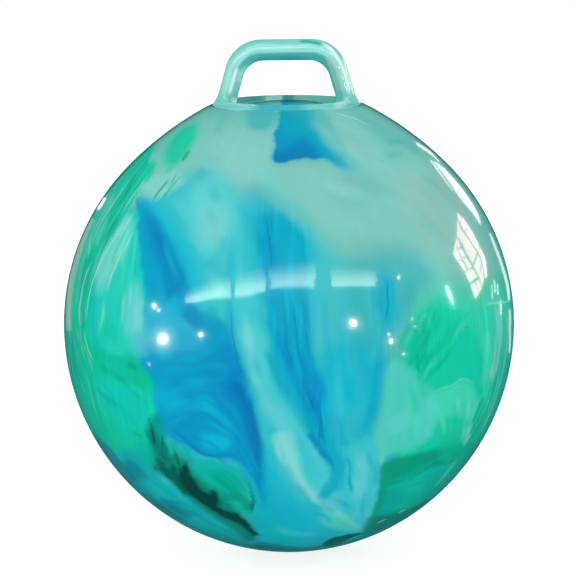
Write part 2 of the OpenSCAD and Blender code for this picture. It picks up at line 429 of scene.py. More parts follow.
def ring_profile():
    """The ring's closed profile: a soft swell above, and a plain body sunk in the ball below."""
    shares = np.linspace(-1, 1, RING_POINTS)
    radii = RING_R + shares * RING_HALF
    heights = LAND_Z - RING_SINK + RING_H * (1 + np.cos(math.pi * shares)) / 2
    fall = np.maximum(0, radii - NECK_R + RING_TUCK) * math.tan(NECK_ANGLE)
    top = np.stack([radii, heights - fall], axis=1)
    low = np.array([[RING_R + RING_HALF, LAND_Z - RING_DEPTH], [RING_R - RING_HALF, LAND_Z - RING_DEPTH]])
    return np.concatenate([top, low])


ring = spun("base_ring", ring_profile(), RING_SPIN)
print("ring", len(ring.data.polygons), "faces")

# %% Melt ring and loop together
CROWN_VOXEL = 0.0010
MELT_ROUNDS = 14

only(loop)
ring.select_set(True)
bpy.ops.object.join()
crown = named("crown_vinyl")
remesh = crown.modifiers.new("melt", "REMESH")
remesh.mode = "VOXEL"
remesh.voxel_size = CROWN_VOXEL
bpy.ops.object.modifier_apply(modifier="melt")
soften = crown.modifiers.new("soften", "SMOOTH")
soften.factor = 0.5
soften.iterations = MELT_ROUNDS
bpy.ops.object.modifier_apply(modifier="soften")
bpy.ops.object.shade_smooth()
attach(crown, "ball")
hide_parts("handle_base_ring", "handle_loop")
print("crown", len(crown.data.polygons), "faces")

# %% [markdown]
# ## The valve and its stopper
# The valve is a soft disc welded into the skin, with a boss inside and a tapered bore. The stopper is
# a stiffer plastic plug that lies flush in it. Both are turned parts, so each profile is spun round
# the valve's own axis and its outer edges get a small bevel.

# %% A helper that turns a part on the valve's axis
VALVE_SPIN = 96
BEVEL_FROM = math.radians(35)


def turned_part(name, points, bevel):
    """A spun profile with bevelled edges, set on the valve's axis."""
    part = spun(name, points, VALVE_SPIN)
    edges = part.modifiers.new("edges", "BEVEL")
    edges.width = bevel
    edges.segments = 3
    edges.limit_method = "ANGLE"
    edges.angle_limit = BEVEL_FROM
    bpy.ops.object.modifier_apply(modifier="edges")
    part.data.transform(valve_turn)
    bpy.ops.object.shade_smooth_by_angle(angle=SMOOTH_UP_TO)
    return part


# %% Valve
FLANGE_R = PATCH + 0.006
FLANGE_T = 0.0024
BOSS_R = 0.0095
BOSS_L = 0.014
BORE_R = 0.0047
BORE_TAPER = 0.0006
HEAD_R = 0.0085
HEAD_T = 0.002
HEAD_GAP = 0.0002
WELD_GAP = 0.0001
LIP_H = 0.0003
LIP_W = 0.0015
DISH_IN = 0.0022
RIM_W = 0.0008
RIM_OUT = 0.0018
SEAT_BEVEL = 0.0002

seat_top = BALL_R - SKIN_WALL - WELD_GAP
flange_end = math.sqrt(seat_top**2 - FLANGE_R**2) - FLANGE_T
boss_end = flange_end - BOSS_L
head_floor = BALL_R - HEAD_T - 2 * HEAD_GAP
recess_r = HEAD_R + HEAD_GAP


def on_sphere(radius, out):
    """Height of a sphere's skin at a distance out from the axis."""
    return math.sqrt(radius**2 - out**2)


seat_points = [
    (BORE_R - BORE_TAPER, boss_end),
    (BOSS_R, boss_end),
    (BOSS_R, flange_end),
    (FLANGE_R, flange_end),
    (FLANGE_R, on_sphere(seat_top, FLANGE_R)),
    (PATCH, on_sphere(seat_top, PATCH)),
    (PATCH, on_sphere(BALL_R, PATCH) + LIP_H),
    (PATCH - LIP_W, on_sphere(BALL_R, PATCH - LIP_W) + LIP_H),
    (PATCH - DISH_IN, on_sphere(BALL_R, PATCH - DISH_IN) - LIP_H),
    (recess_r + RIM_OUT, on_sphere(BALL_R, recess_r + RIM_OUT) - LIP_H),
    (recess_r + RIM_W, on_sphere(BALL_R, recess_r) + LIP_H),
    (recess_r, on_sphere(BALL_R, recess_r) + LIP_H),
    (recess_r, head_floor),
    (BORE_R, head_floor),
]
seat = turned_part("valve_insert", seat_points, SEAT_BEVEL)
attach(seat, "ball")
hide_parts("valve_seat")
print("valve", len(seat.data.polygons), "faces")

# %% Stopper
RIB_GAP = 0.00005
RELIEF = 0.0006
RIBS = 4
RIB_L = 0.0016
TIP_REACH = 0.0025
TIP_R = 0.0025
CORE_R = 0.0015
DIMPLE_R = 0.005
DIMPLE_D = 0.0007
TIP_SLOPE = 0.0005
CORE_END = 0.004
PLUG_BEVEL = 0.00035
bore_l = head_floor - boss_end


def rib_radius(d):
    """Radius of the stopper's ribs at a height above the boss's end."""
    return BORE_R - BORE_TAPER + BORE_TAPER * min(1, max(0, d / bore_l)) - RIB_GAP


stopper_points = [
    (CORE_R, boss_end - TIP_REACH),
    (TIP_R, boss_end - TIP_REACH),
    (rib_radius(0) - RELIEF, boss_end - TIP_SLOPE),
]
for rib in range(1, RIBS + 1):
    top = rib * bore_l / (RIBS + 1)
    stopper_points += [
        (rib_radius(top - RIB_L) - RELIEF, boss_end + top - RIB_L),
        (rib_radius(top - RIB_L / 2), boss_end + top - RIB_L / 2),
        (rib_radius(top - RIB_L / 2), boss_end + top),
        (rib_radius(top) - RELIEF, boss_end + top),
    ]
head_z = head_floor + HEAD_GAP
dimple = [(DIMPLE_R * share, head_z + HEAD_T - DIMPLE_D * (1 - share**2))
          for share in (1, 0.8, 0.6, 0.4, 0.2, 0)]
stopper_points += [
    (rib_radius(bore_l) - RELIEF, head_z),
    (HEAD_R, head_z),
    (HEAD_R, head_z + HEAD_T),
    *dimple,
    (0, boss_end + bore_l - CORE_END),
    (CORE_R, boss_end + bore_l - CORE_END),
]
stopper = turned_part("stopper_plug", stopper_points, PLUG_BEVEL)
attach(stopper, "stopper")
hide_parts("valve_stopper")
print("stopper", len(stopper.data.polygons), "faces")

# %% [markdown]
# ## The marbling, laid out as a map
# Two or three coloured vinyls are poured into the mould without being stirred, so each ball comes
# out with its own drifts, feathers and threads of colour. They aren't printed on: they follow the
# skin. So the marbling is painted on the skin's own points, on a map that unrolls the ball from the
# point that faces the camera. Distances on the map are millimetres on the vinyl, also near the rim.

# %% The map of the ball
BALL_MIDDLE = np.array([0, 0, BALL_Z])
BACK_TWIST = 1.5
MM = 1000
toward_camera = np.array(camera_place) - BALL_MIDDLE
toward_camera /= np.linalg.norm(toward_camera)
map_right = np.cross(-toward_camera, CAM_UP)
map_right /= np.linalg.norm(map_right)
map_up = np.cross(map_right, -toward_camera)
rim_angle = math.acos(BALL_R / np.linalg.norm(np.array(camera_place) - BALL_MIDDLE))
ball_column, ball_row = picture_places(BALL_MIDDLE[None])[0]
rim_pixels = FOCAL * math.tan(math.pi / 2 - rim_angle)


def ways_out(points):
    """Unit vectors from the ball's middle to points."""
    return (points - BALL_MIDDLE) / np.linalg.norm(points - BALL_MIDDLE, axis=1)[:, None]


def map_places(points):
    """Places on the map, in millimetres, of points of the ball. The far half folds back, twisted."""
    out = ways_out(points)
    angle = np.arccos(np.clip(out @ toward_camera, -1, 1))
    reach = np.minimum(angle, math.pi - angle) * BALL_R * MM
    heading = np.arctan2(out @ map_up, out @ map_right)
    heading = heading + BACK_TWIST * np.maximum(0, angle - math.pi / 2)
    return np.stack([reach * np.cos(heading), reach * np.sin(heading)], axis=1)


def map_spot(column, row):
    """Place on the map of a place in the picture. Places off the ball go past the map's rim."""
    hit, spot, _, _ = ball.ray_cast(camera_place, sight_line(column, row))
    if hit:
        return map_places(np.array(spot)[None])[0]
    across = column - ball_column
    up = ball_row - row
    past = math.hypot(across, up) / rim_pixels
    reach = rim_angle * BALL_R * MM * max(1.0, past)
    heading = math.atan2(up, across)
    return np.array([reach * math.cos(heading), reach * math.sin(heading)])


print("ball's middle in the picture", round(float(ball_column), 1), round(float(ball_row), 1))

# %% Smooth lines on the map
LINE_STEP = 6.0


def curve_through(corners, closed=False):
    """Close points on a smooth curve through a few corners of the picture."""
    corners = np.array(corners, dtype=float)
    count = len(corners)
    spans = count if closed else count - 1
    points = []
    for span in range(spans):
        picks = [span - 1, span, span + 1, span + 2]
        picks = [p % count if closed else min(max(p, 0), count - 1) for p in picks]
        a, b, c, d = corners[picks]
        steps = max(1, round(float(np.linalg.norm(c - b)) / LINE_STEP))
        for step in range(steps):
            t = step / steps
            points.append(0.5 * (2 * b + (c - a) * t + (2 * a - 5 * b + 4 * c - d) * t**2
                                 + (3 * b - a - 3 * c + d) * t**3))
    if not closed:
        points.append(corners[-1])
    return np.array(points)


def mapped_line(corners, closed=False):
    """The same curve on the map, with its first point again at the end when it is closed."""
    line = np.array([map_spot(column, row) for column, row in curve_through(corners, closed)])
    return np.concatenate([line, line[:1]]) if closed else line


def near_line(places, line, reach):
    """Distance from places to a line, which side of it they are on, and their share along it.

    Places further away than reach keep that distance.
    """
    distance = np.full(len(places), reach)
    side = np.ones(len(places))
    share = np.zeros(len(places))
    low = line.min(axis=0) - reach
    high = line.max(axis=0) + reach
    close = np.where(((places > low) & (places < high)).all(axis=1))[0]
    runs = np.linalg.norm(np.diff(line, axis=0), axis=1)
    begun = np.concatenate([[0], np.cumsum(runs)])
    for index, (a, b) in enumerate(zip(line, line[1:])):
        lean = b - a
        length = max(float(np.dot(lean, lean)), 1e-9)
        span_low = np.minimum(a, b) - reach
        span_high = np.maximum(a, b) + reach
        inside = ((places[close] > span_low) & (places[close] < span_high)).all(axis=1)
        picked = close[inside]
        away = places[picked] - a
        t = np.clip(away @ lean / length, 0, 1)
        off = away - t[:, None] * lean
        gap = np.hypot(off[:, 0], off[:, 1])
        better = gap < distance[picked]
        hits = picked[better]
        distance[hits] = gap[better]
        cross = lean[0] * away[better, 1] - lean[1] * away[better, 0]
        side[hits] = np.where(cross >= 0, 1, -1)
        share[hits] = (begun[index] + t[better] * runs[index]) / begun[-1]
    return distance, side, share


def within(places, line):
    """Whether places lie inside a closed line, by counting how often a ray crosses it."""
    crossed = np.zeros(len(places), dtype=bool)
    for a, b in zip(line, line[1:]):
        if a[1] == b[1]:
            continue
        spans = (places[:, 1] >= min(a[1], b[1])) & (places[:, 1] < max(a[1], b[1]))
        at = a[0] + (places[:, 1] - a[1]) * (b[0] - a[0]) / (b[1] - a[1])
        crossed ^= spans & (places[:, 0] < at)
    return crossed


# %% [markdown]
# ## Painting tools
# Four tools are enough. A wash lays a soft area of one pigment. A brush lays a soft streak along a
# line. Ink keeps its edge: instead of the colour alone it stores how deep inside the ink each point
# is, and the material draws the edge from that, finer than the mesh. Threads are hair-fine drawn
# lines, stored the same way.

# %% Pigments
PIGMENTS = {
    "mint_grey": "#82C9BE", "mint_light": "#8ED8CE", "grey_teal": "#6ABCB4", "haze": "#96C5BB",
    "rim_reflection_grey": "#9CC8BC", "pale_mint": "#92E0D6", "handle_mint": "#92E0D4", "highlight_and_pale_thread": "#AAEEE8",
    "handle_highlight_line": "#F0FFFC", "handle_pale": "#DDF2EA", "right_leg_grey_reflection": "#AED4C6", "handle_top": "#7CCFC8",
    "handle_green": "#4CCCAA", "handle_inner_shade": "#5CC4C4", "handle_deep_shade": "#34A6B2", "left_leg_highlight": "#A4ECE6",
    "ring_teal": "#6CCFC8", "ring_blue": "#3AB4C8", "ring_back_shade": "#5CA89C", "ring_back_mint_shade": "#6EB8AA",
    "ring_back_deep_shade": "#3E8C84", "dome_pale": "#8CD2C6", "pale_green": "#6CD8BA", "mint": "#48DCBA",
    "bright_mint": "#26D6C0", "teal_mint": "#4AB8AE", "shoal": "#52D2C2", "sea_green": "#06D0A8",
    "sea_teal": "#04CABA", "green_bright": "#10CFA2", "green": "#00C298", "leaf": "#00A67E", "moss": "#00A27C",
    "pool_green": "#009C82", "pool_shade": "#00685A", "deep_green": "#008068", "dark_green": "#00483E",
    "jade": "#00BAA2", "sea_teal_dark": "#00A8A2", "deep_teal": "#066A70", "deep_water": "#0086A4",
    "slate": "#2A8CA4", "teal": "#38B4BA", "aqua_grey": "#48C2CA", "sea_cyan": "#00ACB6",
    "sea_cyan_light": "#06BAC4", "aqua": "#3AC6CE", "light_aqua": "#66D6D8", "ribbon": "#3ECAD4",
    "cyan": "#02B4CE", "cyan_light": "#00BEDA", "cyan_teal": "#00A4BE", "sky": "#0ABCD6", "sky_haze": "#2CB2D8",
    "middle_blue": "#00AAC6", "blue": "#00A2CC", "deep_blue": "#008CC4", "wedge_blue": "#007EB6",
    "cobalt": "#0090C8", "ink_blue": "#0070B4",
}


def linear(name):
    """Linear colour of a pigment."""
    code = PIGMENTS[name].lstrip("#")
    shares = np.array([int(code[i:i + 2], 16) for i in (0, 2, 4)]) / 255
    return np.where(shares <= 0.04045, shares / 12.92, ((shares + 0.055) / 1.055) ** 2.4)


def eased(share):
    """Soft step from 0 to 1."""
    share = np.clip(share, 0, 1)
    return share * share * (3 - 2 * share)


def fading(share, tail):
    """1 along a line, falling to 0 over the share tail of its length at both ends."""
    return np.clip(np.minimum(share, 1 - share) / tail, 0, 1)


# %% A skin that can be painted
DEPTH_RANGE = 4.0
THREAD_RANGE = 6.0
DRAG = 0.12
THREAD_FADE = 0.25
STREAK_FADE = 0.35
STREAK_BEGIN = (0, 0.75)
STREAK_LENGTH = (0.15, 0.5)
STREAK_STRAY = 0.02
COMB_TEETH = 12
COMB_DRIP = 2.5
COMB_PULL = 2.0
FINE_WANDER = 0.012
FINE_PULL = 1.3
noise.seed_set(11)


class Skin:
    """The paint on one piece: a ground colour, two inks with edges, and threads."""

    def __init__(self, places, ground):
        self.places = places
        self.chance = np.random.default_rng(7)
        self.ground = np.tile(linear(ground), (len(places), 1))
        self.drag = np.full(len(places), DRAG)
        self.inks = [
            {"colour": np.tile(linear(ground), (len(places), 1)), "depth": np.full(len(places), -DEPTH_RANGE)}
            for _ in range(2)
        ]
        self.thread_side = np.full(len(places), THREAD_RANGE)
        self.thread_near = np.full(len(places), THREAD_RANGE)
        self.thread_pull = np.zeros(len(places))

    def lay(self, pigment, share):
        """Mix a pigment into the ground by a share for each point."""
        self.ground += (linear(pigment) - self.ground) * share[:, None]

    def inside(self, corners, feather):
        """How far each point is inside a closed line: 0.5 on it, 1 a feather further in."""
        line = mapped_line(corners, closed=True)
        distance, _, _ = near_line(self.places, line, feather)
        return np.where(within(self.places, line), distance, -distance) / (2 * feather) + 0.5

    def wash(self, pigment, corners, feather, strength=1.0):
        """A soft area inside a closed line."""
        self.lay(pigment, eased(self.inside(corners, feather)) * strength)

    def brush(self, pigment, corners, width, feather, strength, tail=0.2):
        """A soft streak along a line that fades at both ends."""
        distance, _, share = near_line(self.places, mapped_line(corners), width + feather)
        self.lay(pigment, eased((width + feather - distance) / feather) * fading(share, tail) * strength)

    def bundle(self, pigments, first, second, count, strength, width=0.5, feather=2.6):
        """Fine streaks that run the way of two guide lines, scattered between them."""
        first, second = curve_through(first), curve_through(second)
        for index in range(count):
            across = self.chance.random()
            begin = self.chance.uniform(*STREAK_BEGIN)
            end = min(1.0, begin + self.chance.uniform(*STREAK_LENGTH))
            corners = []
            for at in np.linspace(begin, end, 4):
                ends = [guide[int(round(at * (len(guide) - 1)))] for guide in (first, second)]
                aside = min(1, max(0, across + self.chance.normal(0, STREAK_STRAY)))
                corners.append(ends[0] + (ends[1] - ends[0]) * aside)
            self.brush(pigments[index % len(pigments)], corners, width * self.chance.uniform(0.4, 1.6), feather,
                       strength * self.chance.uniform(0.5, 1.0), STREAK_FADE)

    def drawn_out(self, corners, feather, strength):
        """An area where the pour was dragged into fine streaks."""
        self.drag += (strength - self.drag) * eased(self.inside(corners, feather))

    def ink(self, layer, pigment, corners, feather, width=None, tip=None, tones=()):
        """An area, or a streak where a width is given, whose edge stays as fine as its feather.

        With no pigment the ink starts as the ground, and its tones are washed into it: pigment,
        closed line, feather and strength. It then fades into the ground where the tones end.
        """
        ink = self.inks[layer]
        reach = feather * DEPTH_RANGE + (width or 0)
        line = mapped_line(corners, closed=width is None)
        distance, _, share = near_line(self.places, line, reach)
        if width is None:
            depth = np.where(within(self.places, line), distance, -distance) / feather
        else:
            wide = width if tip is None else width + (tip - width) * share
            depth = (wide - distance) / feather
        depth = np.clip(depth, -DEPTH_RANGE, DEPTH_RANGE)
        colour = np.tile(linear(pigment), (len(self.places), 1)) if pigment else self.ground.copy()
        for tone, line, soft, strength in tones:
            colour += (linear(tone) - colour) * (eased(self.inside(line, soft)) * strength)[:, None]
        deeper = depth > ink["depth"]
        ink["depth"][deeper] = depth[deeper]
        ink["colour"][deeper] = colour[deeper]

    def thread(self, corners, pull):
        """A hair-fine line. It lightens where pull is above zero and darkens below."""
        distance, side, share = near_line(self.places, mapped_line(corners), THREAD_RANGE)
        nearer = distance < self.thread_near
        self.thread_near[nearer] = distance[nearer]
        self.thread_side[nearer] = (distance * side)[nearer]
        self.thread_pull[nearer] = (pull * fading(share, THREAD_FADE))[nearer]

    def store(self, obj):
        """Write the paint to attributes of the piece."""
        layers = [("ground", self.ground, self.drag)]
        for index, ink in enumerate(self.inks, 1):
            layers.append((f"ink_{index}", ink["colour"], 0.5 + ink["depth"] / (2 * DEPTH_RANGE)))
        side = 0.5 + self.thread_side / (2 * THREAD_RANGE)
        layers.append(("threads", np.stack([side, 0.5 + self.thread_pull / 2, side * 0], axis=1), side * 0 + 1))
        for name, colour, alpha in layers:
            data = obj.data.color_attributes.new(name=name, type="FLOAT_COLOR", domain="POINT").data
            data.foreach_set("color", np.concatenate([colour, alpha[:, None]], axis=1).ravel())


def wavered(points, places, front_wander, back_wander, size):
    """Map places moved a little by smooth noise, and more on the side that the picture doesn't show.

    A second noise, fine across the meridians and slow along them, combs the borders like drips.
    """
    out = ways_out(points)
    behind = eased(0.5 - (out @ toward_camera) * 1.6)
    wander = front_wander + (back_wander - front_wander) * behind
    drift = np.array([noise.noise_vector(Vector(p) / size)[:2] for p in points])
    flat = np.maximum(np.hypot(out[:, 0], out[:, 1]), 0.05)
    comb = np.array([noise.noise(Vector((x, y, z))) for x, y, z in
                     zip(out[:, 0] / flat * COMB_TEETH, out[:, 1] / flat * COMB_TEETH, out[:, 2] * COMB_DRIP)])
    crinkle = np.array([noise.noise_vector(Vector(p) / FINE_WANDER)[:2] for p in points])
    combed = places + drift * wander[:, None] + crinkle * FINE_PULL
    combed[:, 1] += comb * COMB_PULL * (1 + 3 * behind)
    return combed


# %% [markdown]
# ## Painting the ball
# The picture is read the way a painter would: first the large drifts of colour, then the feathers at
# their borders, then the dark pools and the pale ribbons that keep an edge, and the threads last.
# Each call lists a few corners as column and row in the picture, and a smooth curve runs through them.
# The numbers behind them are the feather and the strength of a wash, or the width, the feather, the
# strength and the fading ends of a brush. The noise is seeded, so the ball is the same every time.

# %% Ready the ball's skin
FRONT_WANDER = 1.6
BACK_WANDER = 30.0
WANDER_SIZE = 0.05
ball_points = places_of(ball).astype(float)
skin = Skin(wavered(ball_points, map_places(ball_points), FRONT_WANDER, BACK_WANDER, WANDER_SIZE), "mint_grey")
wash, brush, bundle, ink = skin.wash, skin.brush, skin.bundle, skin.ink
print("skin", len(skin.places), "points on the map")

# %% Large drifts
wash("aqua", [(126, 225), (150, 196), (186, 176), (214, 172), (244, 196), (262, 206), (300, 222), (345, 262),
    (380, 300), (385, 380), (376, 450), (380, 590), (200, 600), (90, 480), (120, 330)], 15)
wash("sea_teal", [(130, 210), (146, 230), (150, 300), (150, 360), (170, 420), (150, 470), (110, 460), (84, 400),
    (76, 320), (90, 260), (112, 226)], 6)
wash("teal", [(336, 268), (362, 254), (394, 250), (420, 258), (434, 276), (420, 300), (402, 330), (388, 356),
    (350, 350), (336, 300)], 13, 0.75)
wash("sea_green", [(424, 292), (446, 284), (470, 280), (496, 276), (530, 270), (540, 330), (500, 340), (440, 330),
    (412, 320)], 16, 0.7)
wash("sea_green", [(426, 306), (450, 302), (486, 304), (530, 300), (545, 380), (508, 440), (474, 474), (420, 470),
    (388, 452), (386, 427), (388, 400), (396, 362), (406, 334), (414, 318)], 9)
wash("sea_green", [(152, 146), (155, 162), (150, 180), (138, 193), (131, 206), (123, 217), (112, 233), (104, 246),
    (97, 262), (91, 282), (88, 305), (96, 350), (112, 356), (126, 355), (136, 362), (146, 370), (152, 382),
    (155, 398), (158, 414), (158, 430), (148, 446), (126, 454), (96, 450), (60, 440), (20, 340), (50, 210),
    (110, 140)], 4.5)
wash("bright_mint", [(124, 224), (135, 208), (139, 230), (142, 262), (146, 296), (141, 330), (130, 350), (112, 354),
    (98, 334), (96, 300), (100, 274), (112, 246)], 6)
wash("blue", [(150, 340), (196, 326), (232, 330), (238, 350), (246, 384), (256, 412), (262, 444), (268, 500),
    (262, 512), (250, 480), (232, 462), (196, 452), (170, 440), (158, 418), (153, 394), (142, 370), (140, 352)], 6)
brush("sea_teal_dark", [(384, 460), (394, 456), (404, 454)], 3, 6, 0.6, 0.25)
wash("jade", [(382, 466), (396, 458), (420, 453), (444, 448), (480, 442), (500, 470), (440, 540), (364, 580),
    (368, 524), (377, 500), (380, 482)], 4)
wash("cyan", [(250, 516), (276, 500), (310, 512), (340, 524), (362, 534), (340, 600), (250, 600)], 10, 0.8)
print("large drifts laid")

# %% Top: mint and haze round the neck
wash("grey_teal", [(206, 106), (300, 106), (290, 118), (240, 124), (216, 118)], 10, 0.6)
wash("teal", [(249, 100), (275, 100), (273, 126), (250, 128)], 6, 0.75)
wash("mint_light", [(216, 140), (262, 142), (266, 172), (244, 184), (216, 168)], 14, 0.5)
brush("grey_teal", [(224, 112), (220, 124), (218, 136)], 2, 6, 0.5)
wash("grey_teal", [(320, 168), (352, 170), (372, 186), (362, 208), (340, 198)], 16, 0.55)
wash("grey_teal", [(350, 110), (372, 120), (412, 142), (420, 154), (396, 146), (362, 126)], 7, 0.55)
brush("teal_mint", [(380, 140), (390, 143), (400, 141), (408, 146)], 1.6, 6, 0.45, 0.3)
brush("teal_mint", [(384, 152), (392, 156), (402, 152)], 1, 6, 0.4, 0.3)
wash("haze", [(396, 176), (436, 166), (466, 200), (470, 240), (440, 250), (412, 220)], 18, 0.9)
wash("haze", [(330, 116), (360, 132), (376, 150), (352, 154), (334, 138)], 12, 0.4)
wash("grey_teal", [(330, 236), (380, 240), (420, 252), (380, 256), (336, 256)], 12, 0.35)
print("top laid")

# %% Top: the wedge under the ring
wash("cyan_teal", [(283, 100), (304, 102), (312, 118), (320, 134), (330, 150), (344, 164), (330, 160), (300, 160),
    (276, 162), (278, 140), (281, 122)], 7)
brush("teal", [(316, 108), (330, 134), (344, 156), (362, 172)], 2, 12, 0.6)
brush("cyan_teal", [(322, 146), (340, 164), (356, 172)], 1, 8, 0.6, 0.3)
wash("light_aqua", [(236, 100), (262, 95), (288, 94), (320, 95), (342, 100), (320, 105), (288, 106), (255, 106)], 4,
    0.9)
wash("pale_mint", [(265, 94), (282, 94), (282, 106), (266, 106)], 3, 0.9)
wash("cyan", [(284, 94), (293, 94), (292, 106), (284, 106)], 3, 0.6)
print("wedge laid")

# %% Left: the greens that run down the rim
wash("pale_green", [(200, 120), (200, 140), (190, 156), (178, 170), (164, 170), (161, 152), (172, 134), (184, 124)],
    7, 0.55)
wash("green_bright", [(197, 124), (196, 139), (188, 151), (180, 162), (171, 167), (164, 163), (165, 151),
    (172, 139), (183, 128)], 7, 0.95)
brush("leaf", [(189, 151), (186, 156), (183, 161)], 1.4, 3, 0.8, 0.1)
brush("sea_green", [(172, 166), (166, 174), (160, 182)], 1.5, 4, 0.6)
brush("green", [(148, 158), (134, 178), (120, 206), (106, 234), (96, 256)], 6, 8, 0.8, 0.06)
brush("mint_light", [(156, 148), (152, 160), (158, 166)], 2, 5, 0.6)
brush("leaf", [(134, 172), (129, 188), (122, 204)], 1.5, 5, 0.6)
brush("leaf", [(118, 218), (108, 232), (100, 246)], 1.5, 5, 0.6)
brush("pale_green", [(114, 194), (107, 212), (100, 230), (95, 248)], 3, 6, 0.8)
brush("pale_green", [(126, 170), (112, 194), (98, 222), (88, 250)], 1, 4, 0.5)
brush("green", [(92, 250), (85, 280), (81, 306), (82, 334)], 5, 6, 0.85, 0.1)
brush("leaf", [(88, 252), (82, 280), (80, 300)], 1.5, 4, 0.6)
# Painted reflection: a grey sheen along the left rim.
brush("rim_reflection_grey", [(98, 204), (84, 234), (74, 266), (70, 296), (69, 326), (72, 348)], 1.0, 3.0, 0.5)
wash("mint_light", [(142, 182), (160, 174), (180, 174), (184, 182), (168, 194), (152, 201), (142, 198)], 5, 0.9)
wash("pale_mint", [(126, 228), (134, 224), (127, 244), (114, 268), (102, 290), (97, 282), (108, 252)], 7, 0.6)
brush("pale_mint", [(136, 228), (122, 254), (111, 278), (107, 294)], 0.6, 3, 0.5)
brush("pale_mint", [(131, 217), (114, 239), (102, 260), (94, 280)], 2.5, 4.5, 0.65, 0.12)
brush("pale_mint", [(138, 294), (139, 310), (137, 334)], 3, 6, 0.6)
brush("green_bright", [(156, 158), (148, 170), (142, 184)], 3, 5, 0.6)
brush("green", [(76, 314), (80, 334), (88, 352), (94, 362)], 3, 6, 0.6)
brush("light_aqua", [(134, 278), (132, 308), (130, 340)], 4, 9, 0.85)
brush("sea_teal", [(133, 228), (137, 256), (139, 284)], 2, 5, 0.7)
brush("sea_green", [(102, 316), (108, 330), (112, 346)], 7, 8, 0.7)
brush("green", [(92, 350), (106, 362), (128, 366), (142, 378), (150, 394)], 5, 8, 0.8, 0.1)
brush("leaf", [(127, 365), (133, 367), (138, 370)], 1.2, 4, 0.75)
brush("green", [(80, 330), (74, 352), (84, 392)], 6, 9, 0.7)
brush("pale_green", [(74, 322), (80, 340), (88, 354), (92, 366)], 1.5, 3.5, 0.7)
wash("sea_teal", [(104, 390), (128, 388), (146, 404), (144, 432), (122, 436), (106, 416)], 10, 0.6)
wash("green", [(94, 404), (104, 412), (114, 432), (102, 436)], 8, 0.45)
wash("green", [(84, 358), (112, 366), (146, 378), (152, 396), (120, 384), (90, 376)], 8, 0.6)
wash("sea_teal", [(96, 384), (118, 382), (142, 398), (148, 412), (128, 414), (104, 404)], 8, 0.85)
wash("slate", [(94, 436), (108, 446), (122, 462), (140, 482), (156, 498), (140, 502), (110, 470)], 4, 0.85)
wash("sea_cyan", [(122, 452), (150, 456), (162, 476), (150, 488), (132, 474)], 7, 0.8)
wash("jade", [(136, 442), (150, 446), (158, 466), (146, 470)], 6, 0.7)
wash("sea_cyan_light", [(142, 480), (176, 486), (202, 500), (190, 510), (158, 500)], 6, 0.85)
wash("sea_cyan", [(150, 506), (196, 504), (236, 520), (244, 548), (180, 540)], 7, 0.9)
brush("deep_water", [(160, 505), (178, 510), (196, 514)], 3, 6, 0.6, 0.3)
wash("deep_water", [(150, 512), (172, 524), (200, 536), (226, 544), (200, 556), (150, 530)], 4, 0.6)
wash("deep_water", [(124, 462), (136, 464), (148, 478), (140, 484), (126, 472)], 5, 0.7)
wash("deep_water", [(152, 500), (176, 500), (194, 510), (206, 522), (186, 522), (164, 514)], 5, 0.75)
wash("sea_cyan_light", [(186, 520), (204, 516), (224, 526), (220, 534), (198, 530)], 5, 0.8)
wash("sea_cyan_light", [(132, 482), (146, 478), (168, 486), (182, 496), (160, 498), (142, 492)], 5, 0.6)
print("left side laid")

# %% Left: blue tongue with its dark core
wash("sky", [(138, 203), (158, 202), (184, 236), (200, 270), (210, 300), (186, 318), (150, 318), (144, 292)], 9,
    0.8)
wash("blue", [(139, 206), (143, 222), (146, 250), (150, 300), (168, 306), (190, 302), (190, 286), (180, 258),
    (166, 232), (150, 212)], 7, 0.9)
brush("deep_blue", [(143, 216), (151, 232), (162, 254), (173, 280), (182, 302)], 7, 9, 0.85, 0.14)
brush("ink_blue", [(142, 218), (149, 230), (157, 244), (165, 262)], 2.6, 7, 0.9, 0.3)
wash("light_aqua", [(190, 188), (208, 176), (226, 184), (234, 206), (230, 236), (212, 248), (198, 236), (190, 214)],
    13, 0.75)
wash("light_aqua", [(196, 202), (224, 200), (232, 236), (214, 252), (198, 240)], 14, 0.8)
wash("mint_light", [(204, 212), (220, 210), (226, 234), (214, 244), (205, 234)], 10, 0.5)
brush("teal", [(196, 172), (208, 178)], 3, 8, 0.35)
wash("sky_haze", [(146, 306), (170, 304), (196, 310), (206, 324), (206, 342), (186, 354), (152, 354), (138, 346),
    (138, 324)], 8, 0.75)
brush("deep_blue", [(178, 298), (190, 313), (206, 325), (226, 333)], 4, 8, 0.8, 0.15)
brush("cyan", [(229, 246), (229, 280), (231, 330)], 1.5, 6, 0.6, 0.15)
wash("blue", [(204, 324), (231, 322), (234, 346), (218, 352), (200, 346)], 8, 0.8)
print("left tongue laid")

# %% Lower left: the blue swirl
wash("light_aqua", [(132, 322), (146, 322), (148, 350), (140, 356), (130, 346)], 7, 0.5)
wash("cyan_light", [(154, 392), (166, 388), (190, 398), (180, 410), (162, 410)], 7, 0.5)
wash("deep_blue", [(204, 362), (232, 356), (244, 384), (246, 410), (224, 396)], 11, 0.7)
brush("cyan_light", [(164, 416), (178, 408), (200, 405), (220, 414), (234, 432), (242, 450)], 2.5, 5, 0.75, 0.3)
wash("cobalt", [(170, 418), (196, 412), (214, 420), (210, 430), (182, 432)], 8, 0.5)
wash("cyan_light", [(200, 436), (216, 434), (232, 440), (228, 448), (208, 448)], 4.5, 0.95)
brush("cobalt", [(170, 428), (184, 438), (198, 450), (212, 456), (228, 455), (242, 461)], 1.2, 3.5, 0.9, 0.15)
brush("cobalt", [(186, 436), (204, 440), (222, 452)], 0.8, 3, 0.5)
wash("sea_cyan_light", [(182, 450), (204, 458), (232, 464), (246, 482), (214, 476), (192, 464)], 4.5, 0.85)
brush("ink_blue", [(232, 358), (240, 390), (250, 424), (257, 450), (262, 480), (266, 508)], 3, 7, 0.9, 0.12)
wash("ink_blue", [(222, 386), (234, 384), (244, 394), (252, 418), (245, 416), (232, 402)], 5, 0.9)
